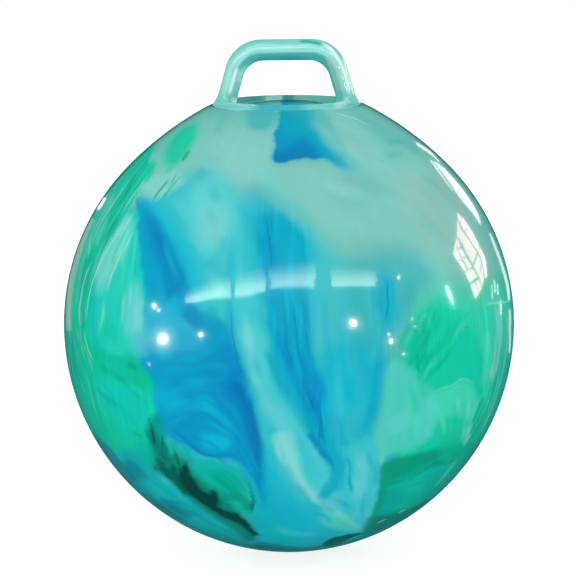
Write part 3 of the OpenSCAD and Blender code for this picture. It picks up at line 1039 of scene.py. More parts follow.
brush("cobalt", [(236, 448), (246, 458), (256, 478), (262, 500)], 1.5, 4, 0.7)
brush("cobalt", [(222, 340), (232, 362), (240, 384)], 3, 6, 0.7, 0.15)
wash("deep_blue", [(204, 384), (226, 386), (242, 398), (250, 424), (258, 452), (256, 472), (242, 460), (234, 436),
    (222, 414), (206, 400)], 8, 0.5)
brush("blue", [(238, 466), (246, 474), (252, 486)], 2, 5, 0.6, 0.25)
print("swirl laid")

# %% Lower left: greens round the dark pool
wash("jade", [(196, 464), (226, 466), (246, 482), (255, 500), (252, 518), (232, 512), (212, 496), (192, 476)], 7,
    0.95)
wash("pool_green", [(212, 474), (232, 478), (244, 492), (236, 500), (220, 494)], 6, 0.7)
brush("pool_green", [(222, 498), (236, 497), (247, 503), (249, 511)], 3, 4, 0.8, 0.1)
wash("jade", [(226, 504), (236, 502), (244, 506), (238, 510), (228, 508)], 2.6)
brush("deep_teal", [(242, 476), (251, 488), (254, 502), (250, 514)], 0.8, 2.6, 0.8)
brush("sea_cyan_light", [(248, 474), (257, 492), (261, 518)], 1.2, 3.5, 0.8, 0.15)
wash("deep_green", [(148, 424), (158, 416), (163, 428), (168, 442), (178, 454), (190, 460), (194, 472), (212, 488),
    (236, 508), (260, 534), (248, 542), (226, 524), (198, 506), (172, 484), (158, 468), (151, 448)], 6, 0.85)
brush("sea_green", [(166, 436), (171, 446), (170, 458)], 1, 3, 0.8, 0.25)
brush("sea_teal_dark", [(156, 414), (159, 428), (160, 444), (158, 458)], 3, 6, 0.7)
brush("deep_green", [(150, 430), (155, 444), (162, 456), (168, 464)], 2.5, 6, 0.55)
brush("sea_teal_dark", [(172, 440), (176, 450), (184, 458)], 2, 5, 0.6, 0.25)
brush("jade", [(180, 446), (188, 452), (184, 460)], 1.5, 4, 0.8, 0.25)
wash("sea_teal_dark", [(206, 524), (232, 530), (250, 546), (222, 544)], 5, 0.7)
brush("pool_green", [(212, 516), (230, 526), (246, 538)], 2, 5, 0.6, 0.25)
print("pool's greens laid")

# %% Middle: blue feather under the neck of the ribbons
wash("cyan", [(250, 192), (264, 190), (282, 204), (300, 224), (311, 244), (311, 330), (268, 330), (258, 280),
    (250, 240)], 12, 0.7)
wash("middle_blue", [(262, 216), (282, 214), (300, 230), (308, 250), (308, 300), (311, 346), (320, 377), (326, 409),
    (329, 446), (334, 468), (326, 460), (312, 446), (305, 424), (294, 404), (284, 384), (274, 354), (268, 310),
    (264, 270), (258, 240)], 4.5, 0.95)
wash("blue", [(272, 316), (300, 316), (312, 356), (322, 390), (326, 430), (314, 440), (296, 404), (280, 370)], 9,
    0.6)
brush("cyan", [(284, 226), (290, 256), (294, 280)], 5, 10, 0.4)
brush("teal", [(262, 196), (276, 206), (290, 216)], 4, 9, 0.35, 0.3)
brush("cobalt", [(300, 350), (305, 376), (313, 404), (318, 430)], 4, 9, 0.7, 0.15)
brush("ink_blue", [(300, 372), (307, 392), (314, 414)], 1.0, 3.5, 0.85, 0.25)
brush("ink_blue", [(319, 396), (322, 424), (325, 446)], 1.6, 4, 0.85)
brush("cobalt", [(312, 440), (322, 452), (331, 464)], 2.4, 4, 0.9, 0.15)
brush("cobalt", [(282, 330), (290, 362), (300, 392)], 1.6, 5, 0.5)
brush("cyan_light", [(276, 340), (284, 366), (296, 392)], 0.8, 3, 0.35, 0.25)
print("middle laid")

# %% Ribbons that run down to the foot
wash("ribbon", [(235, 296), (264, 300), (266, 326), (269, 350), (274, 368), (281, 388), (291, 402), (299, 413),
    (308, 434), (319, 454), (331, 470), (330, 480), (312, 490), (296, 476), (286, 446), (273, 424), (265, 396),
    (254, 372), (243, 344), (236, 320)], 3, 0.92)
wash("cyan", [(246, 350), (264, 350), (268, 366), (258, 374), (250, 366)], 7, 0.25)
wash("light_aqua", [(242, 330), (258, 326), (264, 348), (254, 358), (244, 348)], 8, 0.6)
wash("pale_mint", [(267, 402), (281, 402), (290, 416), (298, 432), (290, 440), (278, 426), (269, 414)], 8, 0.7)
brush("cyan", [(266, 434), (276, 429), (290, 430)], 0.4, 2.6, 0.55, 0.3)
wash("pale_mint", [(275, 434), (290, 434), (296, 452), (299, 470), (306, 486), (298, 486), (288, 468), (276, 452)],
    4.5, 0.9)
wash("cyan", [(264, 466), (276, 470), (290, 486), (304, 510), (306, 530), (276, 544), (266, 520)], 7, 0.7)
brush("sky", [(267, 440), (270, 466), (276, 490)], 3, 6, 0.5)
wash("sea_cyan_light", [(262, 512), (286, 520), (300, 540), (270, 546), (256, 536)], 7, 0.7)
brush("mint_light", [(295, 474), (303, 486), (315, 498), (331, 508), (346, 518), (363, 530)], 2.5, 4, 0.9, 0.06)
brush("cyan", [(300, 502), (312, 508), (322, 516)], 3, 5, 0.6, 0.25)
wash("shoal", [(322, 508), (340, 514), (356, 524), (362, 531), (340, 530), (322, 522)], 5, 0.8)
brush("sea_cyan", [(312, 512), (326, 516), (332, 524)], 1.2, 4, 0.6, 0.25)
brush("ribbon", [(272, 526), (296, 534), (322, 534)], 2, 7, 0.5, 0.25)
print("ribbons laid")

# %% Right: aqua field, its blue border and the pale shoulder of the pool
wash("aqua_grey", [(316, 262), (340, 268), (348, 300), (334, 346), (318, 350), (314, 310)], 9, 0.75)
wash("cyan", [(338, 344), (372, 344), (386, 362), (382, 386), (376, 412), (372, 436), (346, 430), (330, 440),
    (328, 400), (324, 372)], 10, 0.75)
wash("cyan", [(314, 352), (350, 346), (374, 372), (368, 426), (342, 440), (326, 424), (318, 390)], 10, 0.6)
brush("blue", [(385, 352), (380, 384), (374, 412), (371, 426)], 3.5, 7, 0.75)
brush("blue", [(334, 404), (338, 430), (346, 452)], 2, 7, 0.55)
brush("ribbon", [(350, 396), (352, 424), (350, 442)], 3, 8, 0.5)
wash("ribbon", [(352, 448), (364, 438), (378, 438), (380, 470), (378, 492), (372, 516), (364, 530), (344, 514),
    (332, 500), (346, 484), (350, 466)], 4, 0.85)
brush("light_aqua", [(360, 450), (360, 478), (356, 502)], 4, 7, 0.7)
brush("cyan", [(347, 456), (350, 470), (349, 482), (352, 494)], 0.6, 3, 0.85, 0.15)
brush("cyan", [(340, 460), (338, 480), (340, 494)], 3, 5, 0.6, 0.25)
brush("cyan", [(331, 430), (334, 450), (336, 470), (330, 486), (322, 498)], 3.5, 7, 0.8, 0.12)
brush("cyan", [(320, 490), (336, 499), (352, 510)], 0.8, 4, 0.6, 0.25)
wash("cyan", [(372, 276), (392, 276), (406, 300), (404, 330), (384, 336), (374, 310)], 9, 0.5)
brush("cyan", [(387, 272), (388, 300), (386, 330)], 3.5, 6, 0.8)
brush("teal", [(410, 276), (412, 290), (410, 306)], 3, 6, 0.4)
wash("teal", [(388, 344), (400, 340), (408, 352), (398, 364), (388, 360)], 6, 0.5)
wash("shoal", [(386, 368), (402, 362), (420, 378), (436, 396), (436, 424), (424, 442), (400, 452), (384, 458),
    (378, 440), (379, 412), (383, 388)], 6.5, 0.9)
brush("light_aqua", [(396, 414), (402, 432)], 5, 10, 0.5)
brush("sea_green", [(412, 360), (424, 376), (434, 392)], 2, 8, 0.5, 0.25)
print("right field laid")

# %% Right: the green pool
wash("mint", [(440, 284), (470, 300), (506, 296), (514, 330), (506, 360), (484, 350), (470, 320), (446, 306)], 10,
    0.5)
brush("green_bright", [(452, 300), (440, 330), (424, 360)], 12, 12, 0.6, 0.15)
brush("green", [(438, 308), (428, 326), (418, 350), (418, 368)], 6, 8, 0.8, 0.15)
brush("green", [(454, 322), (447, 338), (434, 354), (421, 372)], 2, 4, 0.8, 0.15)
brush("leaf", [(436, 310), (427, 324), (416, 338)], 0.8, 3, 0.6, 0.25)
brush("leaf", [(417, 350), (417, 366), (423, 374)], 0.8, 2.6, 0.55, 0.25)
brush("green", [(412, 322), (404, 336), (399, 352)], 1.6, 3.5, 0.7, 0.25)
wash("mint", [(430, 398), (446, 388), (464, 380), (474, 388), (476, 408), (466, 424), (448, 418), (436, 416)], 5,
    0.85)
wash("green_bright", [(436, 428), (452, 418), (464, 416), (464, 438), (442, 446)], 5, 0.85)
brush("mint", [(480, 392), (472, 420), (460, 444)], 2, 5, 0.7)
brush("mint_light", [(470, 424), (468, 436), (461, 448)], 2, 4, 0.8, 0.25)
print("green pool laid")

# %% Right: pale streaks beside the rim
brush("mint", [(486, 330), (488, 356), (485, 384)], 5, 7, 0.75, 0.15)
brush("mint_light", [(496, 300), (500, 330), (496, 364), (490, 384)], 4, 7, 0.65, 0.15)
brush("green", [(502, 340), (498, 372), (488, 404), (474, 432)], 1.2, 4, 0.8, 0.15)
brush("leaf", [(484, 396), (478, 410), (472, 424)], 1.0, 2.8, 0.8)
brush("mint", [(492, 392), (484, 412), (474, 432)], 0.8, 3, 0.7)
brush("leaf", [(494, 398), (484, 418), (468, 444)], 0.7, 2.8, 0.7)
# Painted reflection: a grey sheen along the right rim.
brush("rim_reflection_grey", [(506, 306), (507, 340), (502, 376), (492, 408), (478, 438)], 1, 3, 0.5, 0.15)
print("streaks laid")

# %% Right: the deep pool with its dark shore, and painted shade along the bottom
wash("moss", [(384, 466), (394, 461), (414, 456), (440, 450), (462, 446), (458, 460), (440, 466), (408, 472),
    (390, 478)], 5.5, 0.95)
wash("leaf", [(386, 468), (396, 462), (412, 458), (422, 464), (406, 476), (390, 480)], 6, 0.5)
brush("moss", [(384, 468), (394, 462), (414, 457), (436, 452)], 2, 5, 0.6, 0.1)
wash("green", [(440, 442), (458, 438), (464, 452), (450, 464), (440, 458)], 7, 0.7)
wash("sea_teal_dark", [(384, 478), (396, 484), (400, 504), (384, 520), (372, 522), (378, 498)], 7, 0.75)
wash("sea_teal", [(402, 480), (420, 478), (424, 490), (408, 494)], 7, 0.5)
wash("deep_green", [(368, 518), (390, 514), (412, 508), (430, 500), (420, 524), (390, 540), (360, 548)], 5, 0.7)
brush("pale_green", [(458, 458), (446, 474), (434, 488)], 1.5, 5, 0.55, 0.25)
brush("deep_teal", [(440, 502), (420, 516), (396, 528), (368, 538)], 1.5, 4, 0.8, 0.1)
# Painted shade: a dark band along the bottom rim, where the ball meets the floor.
wash("deep_water", [(250, 544), (300, 547), (340, 543), (370, 537), (360, 580), (250, 580)], 3, 0.8)
wash("deep_teal", [(240, 547), (300, 550), (340, 547), (360, 542), (380, 560), (230, 580)], 2, 0.9)
brush("sea_cyan_light", [(352, 540), (376, 532), (396, 524)], 0.4, 2.4, 0.5)
print("right pool laid")

# %% Fine streaks of the pour, on the left
bundle(["pale_green", "leaf", "sea_green", "green", "mint_light", "leaf"], [(146, 148), (110, 190), (84, 240),
    (72, 290), (69, 330), (74, 380)], [(160, 160), (132, 200), (108, 240), (93, 280), (88, 320), (92, 350)], 44,
    0.75, 0.4, 2.2)
bundle(["pale_mint", "sea_teal", "mint", "bright_mint"], [(132, 220), (112, 250), (98, 290), (94, 330)],
    [(138, 226), (134, 270), (132, 310), (126, 345)], 22, 0.6, 0.5, 2.6)
bundle(["green", "sea_teal", "bright_mint", "leaf"], [(84, 340), (104, 356), (134, 374), (148, 392)], [(88, 400),
    (110, 420), (134, 440), (150, 446)], 22, 0.5, 1.0, 4)
bundle(["leaf", "pale_green", "green"], [(70, 330), (76, 370), (92, 420)], [(88, 340), (92, 370), (104, 410)], 18,
    0.6, 0.4, 2.4)
bundle(["deep_blue", "sky", "blue"], [(142, 214), (146, 250), (152, 300)], [(158, 214), (184, 262), (206, 302)], 18,
    0.5, 0.7, 4)
bundle(["light_aqua", "sky", "teal"], [(160, 200), (196, 250), (224, 300)], [(214, 180), (236, 230), (240, 290)],
    14, 0.4, 1.5, 6)
bundle(["cyan", "deep_blue"], [(150, 358), (180, 352), (210, 350), (232, 352)], [(158, 394), (180, 386), (206, 382),
    (236, 392)], 16, 0.45, 1.0, 4)
bundle(["cyan_light", "cobalt", "blue", "deep_blue"], [(160, 396), (186, 386), (214, 390), (240, 418), (254, 448),
    (264, 484)], [(170, 432), (190, 424), (210, 430), (226, 440), (240, 456), (256, 482)], 34, 0.6, 0.5, 2.6)
bundle(["sea_cyan_light", "jade", "sea_teal_dark"], [(186, 448), (214, 456), (240, 470), (256, 496)], [(198, 474),
    (216, 486), (236, 502), (246, 512)], 14, 0.55, 0.5, 3)
bundle(["deep_water", "sea_cyan_light", "jade", "sea_cyan"], [(150, 470), (190, 504), (246, 538)], [(118, 466),
    (160, 520), (226, 546)], 30, 0.6, 1.0, 3.8)
print("streaks on the left laid")

# %% Fine streaks of the pour, in the middle and on the right
bundle(["cobalt", "cyan_light", "middle_blue"], [(256, 206), (262, 270), (274, 340), (306, 424)], [(302, 222),
    (308, 290), (320, 370), (331, 452)], 40, 0.5, 0.4, 2.8)
bundle(["pale_mint", "cyan", "light_aqua", "ribbon"], [(238, 300), (246, 360), (266, 420), (292, 484), (330, 522)],
    [(262, 300), (274, 350), (296, 404), (318, 456), (340, 512)], 30, 0.36, 1.0, 4.5)
bundle(["cyan", "sky", "sea_cyan_light"], [(266, 440), (278, 490), (300, 534)], [(262, 470), (262, 510),
    (280, 544)], 12, 0.5, 0.8, 4)
bundle(["cyan", "aqua_grey", "sky", "ribbon"], [(318, 262), (322, 330), (330, 400), (338, 450)], [(384, 270),
    (388, 330), (380, 390), (368, 430)], 30, 0.4, 1.0, 5)
bundle(["light_aqua", "cyan", "ribbon"], [(336, 450), (342, 480), (358, 520)], [(374, 440), (376, 480), (366, 522)],
    14, 0.5, 0.6, 3)
bundle(["light_aqua", "mint", "sea_green"], [(386, 370), (384, 410), (382, 456)], [(420, 376), (436, 400),
    (442, 440)], 16, 0.4, 1.0, 5)
bundle(["green", "leaf", "mint", "green_bright"], [(424, 304), (408, 340), (404, 370)], [(474, 306), (452, 352),
    (424, 386)], 30, 0.55, 0.5, 3)
bundle(["mint", "green_bright", "mint_light"], [(436, 396), (440, 420), (444, 440)], [(478, 372), (480, 400),
    (470, 440)], 14, 0.4, 0.8, 4)
bundle(["mint_light", "leaf", "green", "mint"], [(494, 300), (494, 350), (482, 408), (458, 450)], [(510, 306),
    (509, 350), (498, 400), (478, 440)], 34, 0.65, 0.4, 2.2)
bundle(["moss", "sea_teal", "jade", "pool_green"], [(384, 474), (420, 464), (462, 452)], [(376, 518), (410, 504),
    (444, 488)], 26, 0.5, 0.8, 4)
bundle(["haze", "grey_teal", "mint_light"], [(216, 126), (300, 176), (400, 214), (450, 262)], [(300, 110),
    (360, 140), (440, 190), (470, 250)], 22, 0.35, 2.0, 9)
bundle(["grey_teal", "light_aqua"], [(196, 160), (240, 190), (300, 220)], [(230, 140), (270, 176), (330, 230)], 12,
    0.3, 2.0, 8)
print("streaks in the middle and on the right laid")

# %% Where the pour was dragged
skin.drawn_out([(152, 146), (156, 180), (136, 208), (130, 230), (104, 300), (100, 350), (140, 380), (150, 420),
    (60, 430), (20, 320), (60, 190)], 10, 0.8)
skin.drawn_out([(252, 210), (300, 216), (312, 250), (314, 350), (330, 400), (334, 460), (312, 440), (272, 350),
    (256, 290)], 8, 0.9)
skin.drawn_out([(376, 262), (400, 262), (396, 350), (378, 400), (366, 340)], 8, 0.6)
skin.drawn_out([(404, 300), (470, 300), (470, 350), (440, 376), (404, 372)], 12, 0.5)
skin.drawn_out([(480, 300), (530, 300), (520, 440), (440, 520), (430, 490), (476, 440)], 10, 0.9)
print("drag laid")

# %% Last thin glazes, over the dragged pour
brush("middle_blue", [(270, 346), (277, 366), (285, 386), (294, 402), (304, 422), (312, 440)], 3, 5, 0.85, 0.1)
brush("deep_blue", [(316, 370), (319, 388), (320, 406)], 3, 6, 0.6, 0.25)
wash("blue", [(252, 222), (272, 212), (294, 228), (298, 262), (292, 300), (276, 330), (262, 320), (253, 270)], 12,
    0.32)
wash("ribbon", [(262, 384), (277, 388), (295, 412), (307, 436), (319, 454), (330, 469), (328, 478), (316, 488),
    (303, 481), (290, 456), (276, 430), (266, 410)], 5, 0.62)
brush("cyan", [(337, 476), (330, 489), (317, 500)], 2.5, 6, 0.75)
brush("cyan", [(318, 498), (326, 506), (336, 513)], 1.5, 5, 0.5, 0.25)
wash("pale_mint", [(274, 437), (283, 431), (291, 440), (297, 456), (302, 474), (306, 487), (298, 481), (288, 467),
    (279, 451)], 5, 0.6)
brush("middle_blue", [(326, 434), (330, 449), (333, 462)], 3, 5, 0.55, 0.25)
brush("deep_blue", [(302, 386), (307, 401), (312, 417)], 2.5, 5, 0.5, 0.25)
wash("middle_blue", [(348, 380), (378, 366), (384, 380), (374, 432), (350, 440), (344, 410)], 9, 0.38)
brush("middle_blue", [(206, 306), (210, 317), (213, 328)], 4, 7, 0.6)
brush("cyan_light", [(169, 297), (176, 305), (186, 310)], 3, 6, 0.5)
brush("pale_mint", [(131, 212), (125, 222), (116, 238)], 4, 5, 0.55)
brush("green_bright", [(155, 162), (149, 173), (143, 184)], 4, 6, 0.55)
brush("green", [(71, 316), (78, 330), (88, 350), (98, 362)], 4, 6, 0.6, 0.15)
brush("pool_shade", [(147, 428), (156, 442), (165, 453), (174, 464)], 4, 6, 0.35, 0.15)
brush("cyan", [(384, 466), (390, 460), (398, 457)], 3, 5, 0.45)
brush("mint", [(482, 378), (487, 389), (483, 402)], 3, 6, 0.5)
brush("sea_teal_dark", [(250, 512), (258, 520), (268, 530)], 3, 7, 0.35)
wash("cobalt", [(212, 392), (230, 393), (243, 411), (251, 440), (249, 462), (238, 456), (230, 430), (217, 410)], 7,
    0.4)
brush("cyan", [(243, 374), (247, 389), (253, 404)], 1.5, 5, 0.4)
brush("deep_blue", [(262, 234), (269, 252), (272, 276)], 3, 7, 0.35)
brush("middle_blue", [(344, 450), (337, 470), (329, 488), (318, 500)], 3.5, 6, 0.45, 0.15)
brush("middle_blue", [(376, 282), (379, 296), (380, 314)], 3, 6, 0.4, 0.25)
brush("cyan", [(376, 460), (378, 474), (376, 488)], 2.5, 5, 0.5, 0.25)
brush("cyan_light", [(155, 350), (163, 354), (172, 351)], 3, 6, 0.5)
brush("pale_mint", [(137, 304), (139, 317), (137, 332)], 3, 5, 0.4)
brush("mint", [(109, 220), (102, 232), (96, 247)], 3, 6, 0.45)
print("glazes laid")

# %% Far side: more drifts where the map folds
DRIFT_STRETCH = (8, 8, 4.5)
DRIFT_BEND = 0.55
DRIFT_BEND_SIZE = 0.07
turned_away = ways_out(ball_points) @ toward_camera
far_half = eased((-0.02 - turned_away) / 0.16)
fold_share = eased((turned_away + 0.85) / 0.25) * far_half
bends = np.array([noise.noise_vector(Vector(p) / DRIFT_BEND_SIZE) for p in ball_points])
bent = ball_points * DRIFT_STRETCH + bends * DRIFT_BEND
for index, (pigment, strength) in enumerate([("sea_teal", 0.9), ("mint_grey", 0.85), ("cyan", 0.8), ("green", 0.8),
                                             ("light_aqua", 0.8), ("deep_blue", 0.7), ("mint_grey", 0.8)]):
    field = np.array([noise.noise(Vector(p) + Vector((9 * index, 4, 2))) for p in bent])
    skin.lay(pigment, fold_share * eased((field - 0.12) / 0.14) * strength)
print("far side laid")

# %% Inks: borders that keep an edge
ink(0, None, [(284, 96), (304, 98), (340, 116), (378, 150), (378, 180), (342, 166), (328, 159.5),
    (312, 158.5), (296, 160), (274, 162.5), (276, 146), (274, 134), (279, 122)], 2.2, tones=[
        ("cyan_teal", [(262, 90), (302, 94), (310, 118), (319, 138), (328, 152), (334, 166), (300, 190),
            (250, 190), (250, 120)], 13, 1.0),
        ("deep_blue", [(256, 128), (280, 126), (286, 134), (306, 134), (322, 150), (330, 160), (300, 190),
            (250, 190)], 7, 0.6),
        ("wedge_blue", [(256, 150), (280, 152), (294, 143), (306, 140), (314, 148), (318, 156), (300, 176),
            (256, 180)], 6, 0.9),
        ("teal", [(290, 104), (306, 104), (312, 116), (296, 118)], 6, 0.35)])
ink(0, None, [(136, 198), (150, 200), (176, 240), (200, 300), (150, 306), (145, 290), (141, 262),
    (139, 236), (139.5, 218)], 2.6, tones=[
        ("blue", [(120, 190), (146, 204), (154, 236), (160, 270), (164, 290), (140, 292), (110, 280)], 9, 0.9),
        ("deep_blue", [(143, 212), (151, 215), (161, 243), (160, 262), (149, 252)], 6, 0.5)])
ink(0, "dark_green", [(149, 420), (152, 432), (155, 445)], 1.7, 0.4, 1.0)
ink(0, "pool_shade", [(163, 436), (163, 446), (162.5, 456), (166, 464)], 1.9, 0.3, 0.8)
ink(0, "pool_shade", [(175, 452), (177, 458), (180, 466)], 2.0, 0.2, 1.0)
ink(0, "pool_shade", [(155, 470), (158, 462), (163, 463), (168, 468), (173, 463), (178, 467), (182, 480),
    (190, 490), (185, 495), (174, 484), (163, 474)], 5.4)
ink(1, "dark_green", [(179, 472), (182, 466), (188, 464), (190, 471), (190, 476), (197, 482), (201, 488),
    (208, 493), (214, 490.5), (219.5, 496), (219, 505), (223, 509), (231, 512), (240, 514.5), (246, 521),
    (251, 528), (259, 536), (253, 536.5), (245, 529), (237, 523), (228, 518), (216, 512.5), (206, 507), (198, 501),
    (189, 495), (182, 485)], 4.2)
ink(0, "pool_shade", [(322, 545), (332, 538), (350, 534), (364, 533), (350, 538), (336, 545)], 2.6)
ink(0, None, [(381, 468), (392, 461), (410, 456), (420, 462), (408, 480), (392, 500), (372, 524),
    (366, 530), (371, 518), (377, 500), (380, 482)], 2.4, tones=[
        ("moss", [(370, 466), (384, 460), (398, 456), (404, 466), (392, 480), (384, 500), (366, 524),
            (356, 520)], 7, 0.8)])
ink(0, "cobalt", [(311, 436), (316, 446), (324, 454), (331, 461), (334, 470)], 3.0, 2.2, 0.6)
print("inks laid")

# %% Threads
brush("leaf", [(171, 176), (162, 188), (151, 204)], 0.5, 2.2, 0.85, 0.3)
brush("green", [(182, 175), (172, 187), (158, 205)], 0.7, 2.6, 0.8, 0.3)
brush("leaf", [(178, 172), (173, 180), (168, 187)], 0.3, 2.0, 0.7, 0.3)
for corners, pull in [
        ([(332, 112), (353, 118), (372, 127)], 0.9),
        ([(170, 176), (162, 188), (151, 205)], 0.0),
        ([(130, 219), (113, 240), (101, 262), (93, 281), (88, 302), (84, 324)], 1.0),
        ([(134, 231), (121, 255), (111, 278), (107, 294)], 0.6),
        ([(97, 216), (90, 240), (87, 262)], 0.8),
        ([(94, 256), (85, 278), (80, 300), (79, 318)], 0.9),
        ([(110, 206), (98, 228), (84, 268)], 0.5),
        ([(124, 184), (112, 206), (104, 220)], 0.4),
        ([(96, 236), (92, 252), (89, 276), (88, 290)], -0.7),
        ([(84, 330), (86, 344), (94, 362)], 0.6),
        ([(231, 296), (232, 320), (236, 352), (243, 382)], -0.7),
        ([(266, 214), (267, 230), (271, 250), (272, 276)], -0.9),
        ([(270, 216), (272, 230), (270, 244)], -0.6),
        ([(387, 276), (388, 300), (386, 326)], -1.0),
        ([(292, 296), (296, 330), (302, 364)], -0.6),
        ([(284, 300), (287, 340), (295, 376)], -0.6),
        ([(302, 296), (306, 330), (310, 360)], -0.5),
        ([(303, 380), (308, 396), (316, 415)], -0.8),
        ([(319, 394), (321, 416), (325, 446)], -0.8),
        ([(170, 430), (186, 441), (204, 454), (226, 457)], -0.5),
        ([(431, 394), (450, 386), (464, 379), (474, 384)], 0.25),
        ([(345, 452), (350, 468), (349, 482), (353, 496)], -0.6),
        # The last two are painted highlights: short white lines low on the right.
        ([(398, 513), (406, 509)], 1.0),
        ([(376, 523), (387, 519)], 1.0)]:
    skin.thread(corners, pull)
skin.thread_pull *= 1 - far_half
skin.store(ball)
print("ball painted")

# %% [markdown]
# ## Painting the crown
# The ring and the handle were coloured by the same pour. In front, the handle is a pale mint. Light
# and shade are painted on it by which way the tube faces. It is lighter towards the reader, and the
# side that looks into the loop is a deeper teal, as painted shade, on the bar and on the right leg.
# The bright lines that run down both legs are painted highlights. Which way a point of the tube faces
# comes from its normal: 0 degrees looks into the loop, 90 at the reader and 180 outward. It is stored
# with the colour, so that the vinyl can be streaked along the tube.

# %% Which way each point of the crown faces
crown_points = places_of(crown).astype(float)
crown_x, crown_y, crown_z = crown_points.T
crown_normals = np.array([tuple(v.normal) for v in crown.data.vertices])
gap_middle = np.array([0, (LAND_Z + BAR_Z) / 2])
to_gap = gap_middle - crown_points[:, [0, 2]]
to_gap /= np.linalg.norm(to_gap, axis=1)[:, None]
faces_gap = (crown_normals[:, [0, 2]] * to_gap).sum(axis=1)
faces_front = np.abs(crown_normals[:, 1])
round_tube = np.degrees(np.arctan2(faces_front, faces_gap))
above_ring = eased((crown_z - LAND_Z - SOCKET_H) / 0.008)
crown_colour = np.tile(linear("handle_mint"), (len(crown_points), 1))


def crown_lay(pigment, share):
    """Mix a pigment into the crown by a share for each point."""
    crown_colour[:] += (linear(pigment) - crown_colour) * np.clip(share, 0, 1)[:, None]


def between(values, low, high, feather):
    """1 between low and high, easing to 0 over the feather on both sides."""
    return eased((values - low) / feather + 1) * eased((high - values) / feather + 1)


# %% Strokes on the crown, given in the picture
crown_seen = picture_places(np.stack([crown_x, -np.abs(crown_y), crown_z], axis=1))


def stroke(pigment, corners, width, feather, strength, tail=0.15):
    """A streak along a line of the picture, in front and the same behind, fading at both ends."""
    distance, _, share = near_line(crown_seen, curve_through(corners), width + feather)
    crown_lay(pigment, eased((width + feather - distance) / feather) * fading(share, tail) * strength)


# %% Handle
bar_share = eased((crown_z - BAR_Z + 0.012) / 0.006)
left_leg = eased((-crown_x - 0.03) / 0.01) * eased((BAR_Z - 0.012 - crown_z) / 0.008)
# Painted light and shade by which way the tube faces: lighter towards the reader, a little darker on the bar's
# outer side, and a deeper teal as painted shade into the loop. On the left leg the inner side is a lighter teal,
# with a painted highlight line.
crown_lay("highlight_and_pale_thread", above_ring * between(round_tube, 86, 114, 12) * 0.75)
crown_lay("handle_top", above_ring * bar_share * eased((round_tube - 116) / 22) * 0.8)
crown_lay("handle_inner_shade", above_ring * eased((84 - round_tube) / 26))
crown_lay("handle_deep_shade", above_ring * eased((50 - round_tube) / 40) * 0.5)
crown_lay("ring_teal", above_ring * left_leg * eased((80 - round_tube) / 6) * 0.9)
crown_lay("left_leg_highlight", above_ring * left_leg * between(round_tube, 34, 48, 8) * 0.8)
# Painted highlights down the left leg and along the top of the grip.
stroke("highlight_and_pale_thread", [(246, 50), (238, 58), (231, 72), (226, 92)], 1.5, 3.5, 0.7)
stroke("highlight_and_pale_thread", [(252, 48.5), (272, 48), (296, 48)], 2, 3.5, 0.7)
# Painted shade along the underside of the grip, with a dark line at its lower edge.
stroke("handle_deep_shade", [(250, 62), (256, 60.5), (272, 59), (300, 59), (314, 61.5)], 0.8, 3.5, 0.85)
stroke("deep_teal", [(284, 60.6), (296, 60.8), (307, 60.8)], 0.3, 1.3, 0.6)
# Painted highlight lines: down the left leg here, and down the right leg's outer edge below.
stroke("handle_highlight_line", [(238, 66.5), (235.6, 73), (232.8, 83), (229.4, 96)], 0.7, 1.5, 1.0)
# Painted reflection: a grey sheen down the right leg, with a thin darker line and a highlight line along its outer
# edge.
stroke("right_leg_grey_reflection", [(326, 55), (332, 66), (337, 80), (342, 95)], 2, 2.5, 0.95)
stroke("handle_top", [(332, 53), (338.5, 64), (343, 78), (347, 94)], 0.3, 1.2, 0.8)
stroke("handle_highlight_line", [(320, 42.5), (331, 49), (339.5, 61), (345, 75), (349.5, 92), (352, 100)], 0.9, 1.5, 0.95)
stroke("handle_green", [(327, 74), (331, 86), (334.5, 97)], 1.5, 2.5, 0.8)
stroke("green", [(298, 41), (309, 41.5), (317, 43.2), (323, 45)], 0.6, 2.0, 0.95)
stroke("pale_green", [(217, 98), (224, 102)], 2, 3.5, 0.5, 0.3)
print("handle painted")

# %% Ring
band_share = 1 - above_ring
behind = eased(crown_y / 0.03) * eased((0.15 - crown_normals[:, 1]) / 0.45)
column = crown_seen[:, 0]
crown_lay("ring_teal", band_share * (0.35 + 0.35 * eased((column - 290) / 30)))
# The ring's back half is painted darker and less blue, as shade. It is deeper on the left and mintier on the right,
# with a pale and a dark teal patch by column.
crown_lay("ring_blue", band_share * between(column, 264, 294, 20) * (1 - 0.5 * behind) * 0.95)
crown_lay("ring_back_shade", band_share * behind * 0.9)
crown_lay("ring_back_deep_shade", band_share * behind * eased((266 - column) / 10) * 0.75)
crown_lay("ring_back_mint_shade", band_share * behind * eased((column - 294) / 10) * 0.9)
crown_lay("dome_pale", band_share * behind * between(column, 267, 281, 4) * 0.9)
crown_lay("deep_teal", band_share * behind * between(column, 284, 292, 4) * 0.6)
in_front = eased(0.5 - crown_y / 0.01)
kept = crown_colour.copy()
# Painted highlight along the ring's upper edge in front.
stroke("handle_highlight_line", [(230, 98.4), (243, 101.6), (257, 104.8)], 0.6, 1.6, 0.95)
stroke("handle_pale", [(334, 107), (343, 103), (350, 99)], 1.5, 3.5, 0.5)
crown_colour[:] = kept + (crown_colour - kept) * in_front[:, None]
data = crown.data.color_attributes.new(name="ground", type="FLOAT_COLOR", domain="POINT").data
data.foreach_set("color", np.concatenate([crown_colour, round_tube[:, None] / 180], axis=1).ravel())
print("ring painted")


# %% [markdown]
# ## The vinyl
# Blown vinyl is glossy, a little milky, and never perfectly even. The shader reads the paint, frays
# the inks' edges with drawn-out noise, and adds the fine vertical drag of the pour. Gloss comes from
# a low roughness with a thin coat, and a faint, slow bump keeps reflections from being perfect.

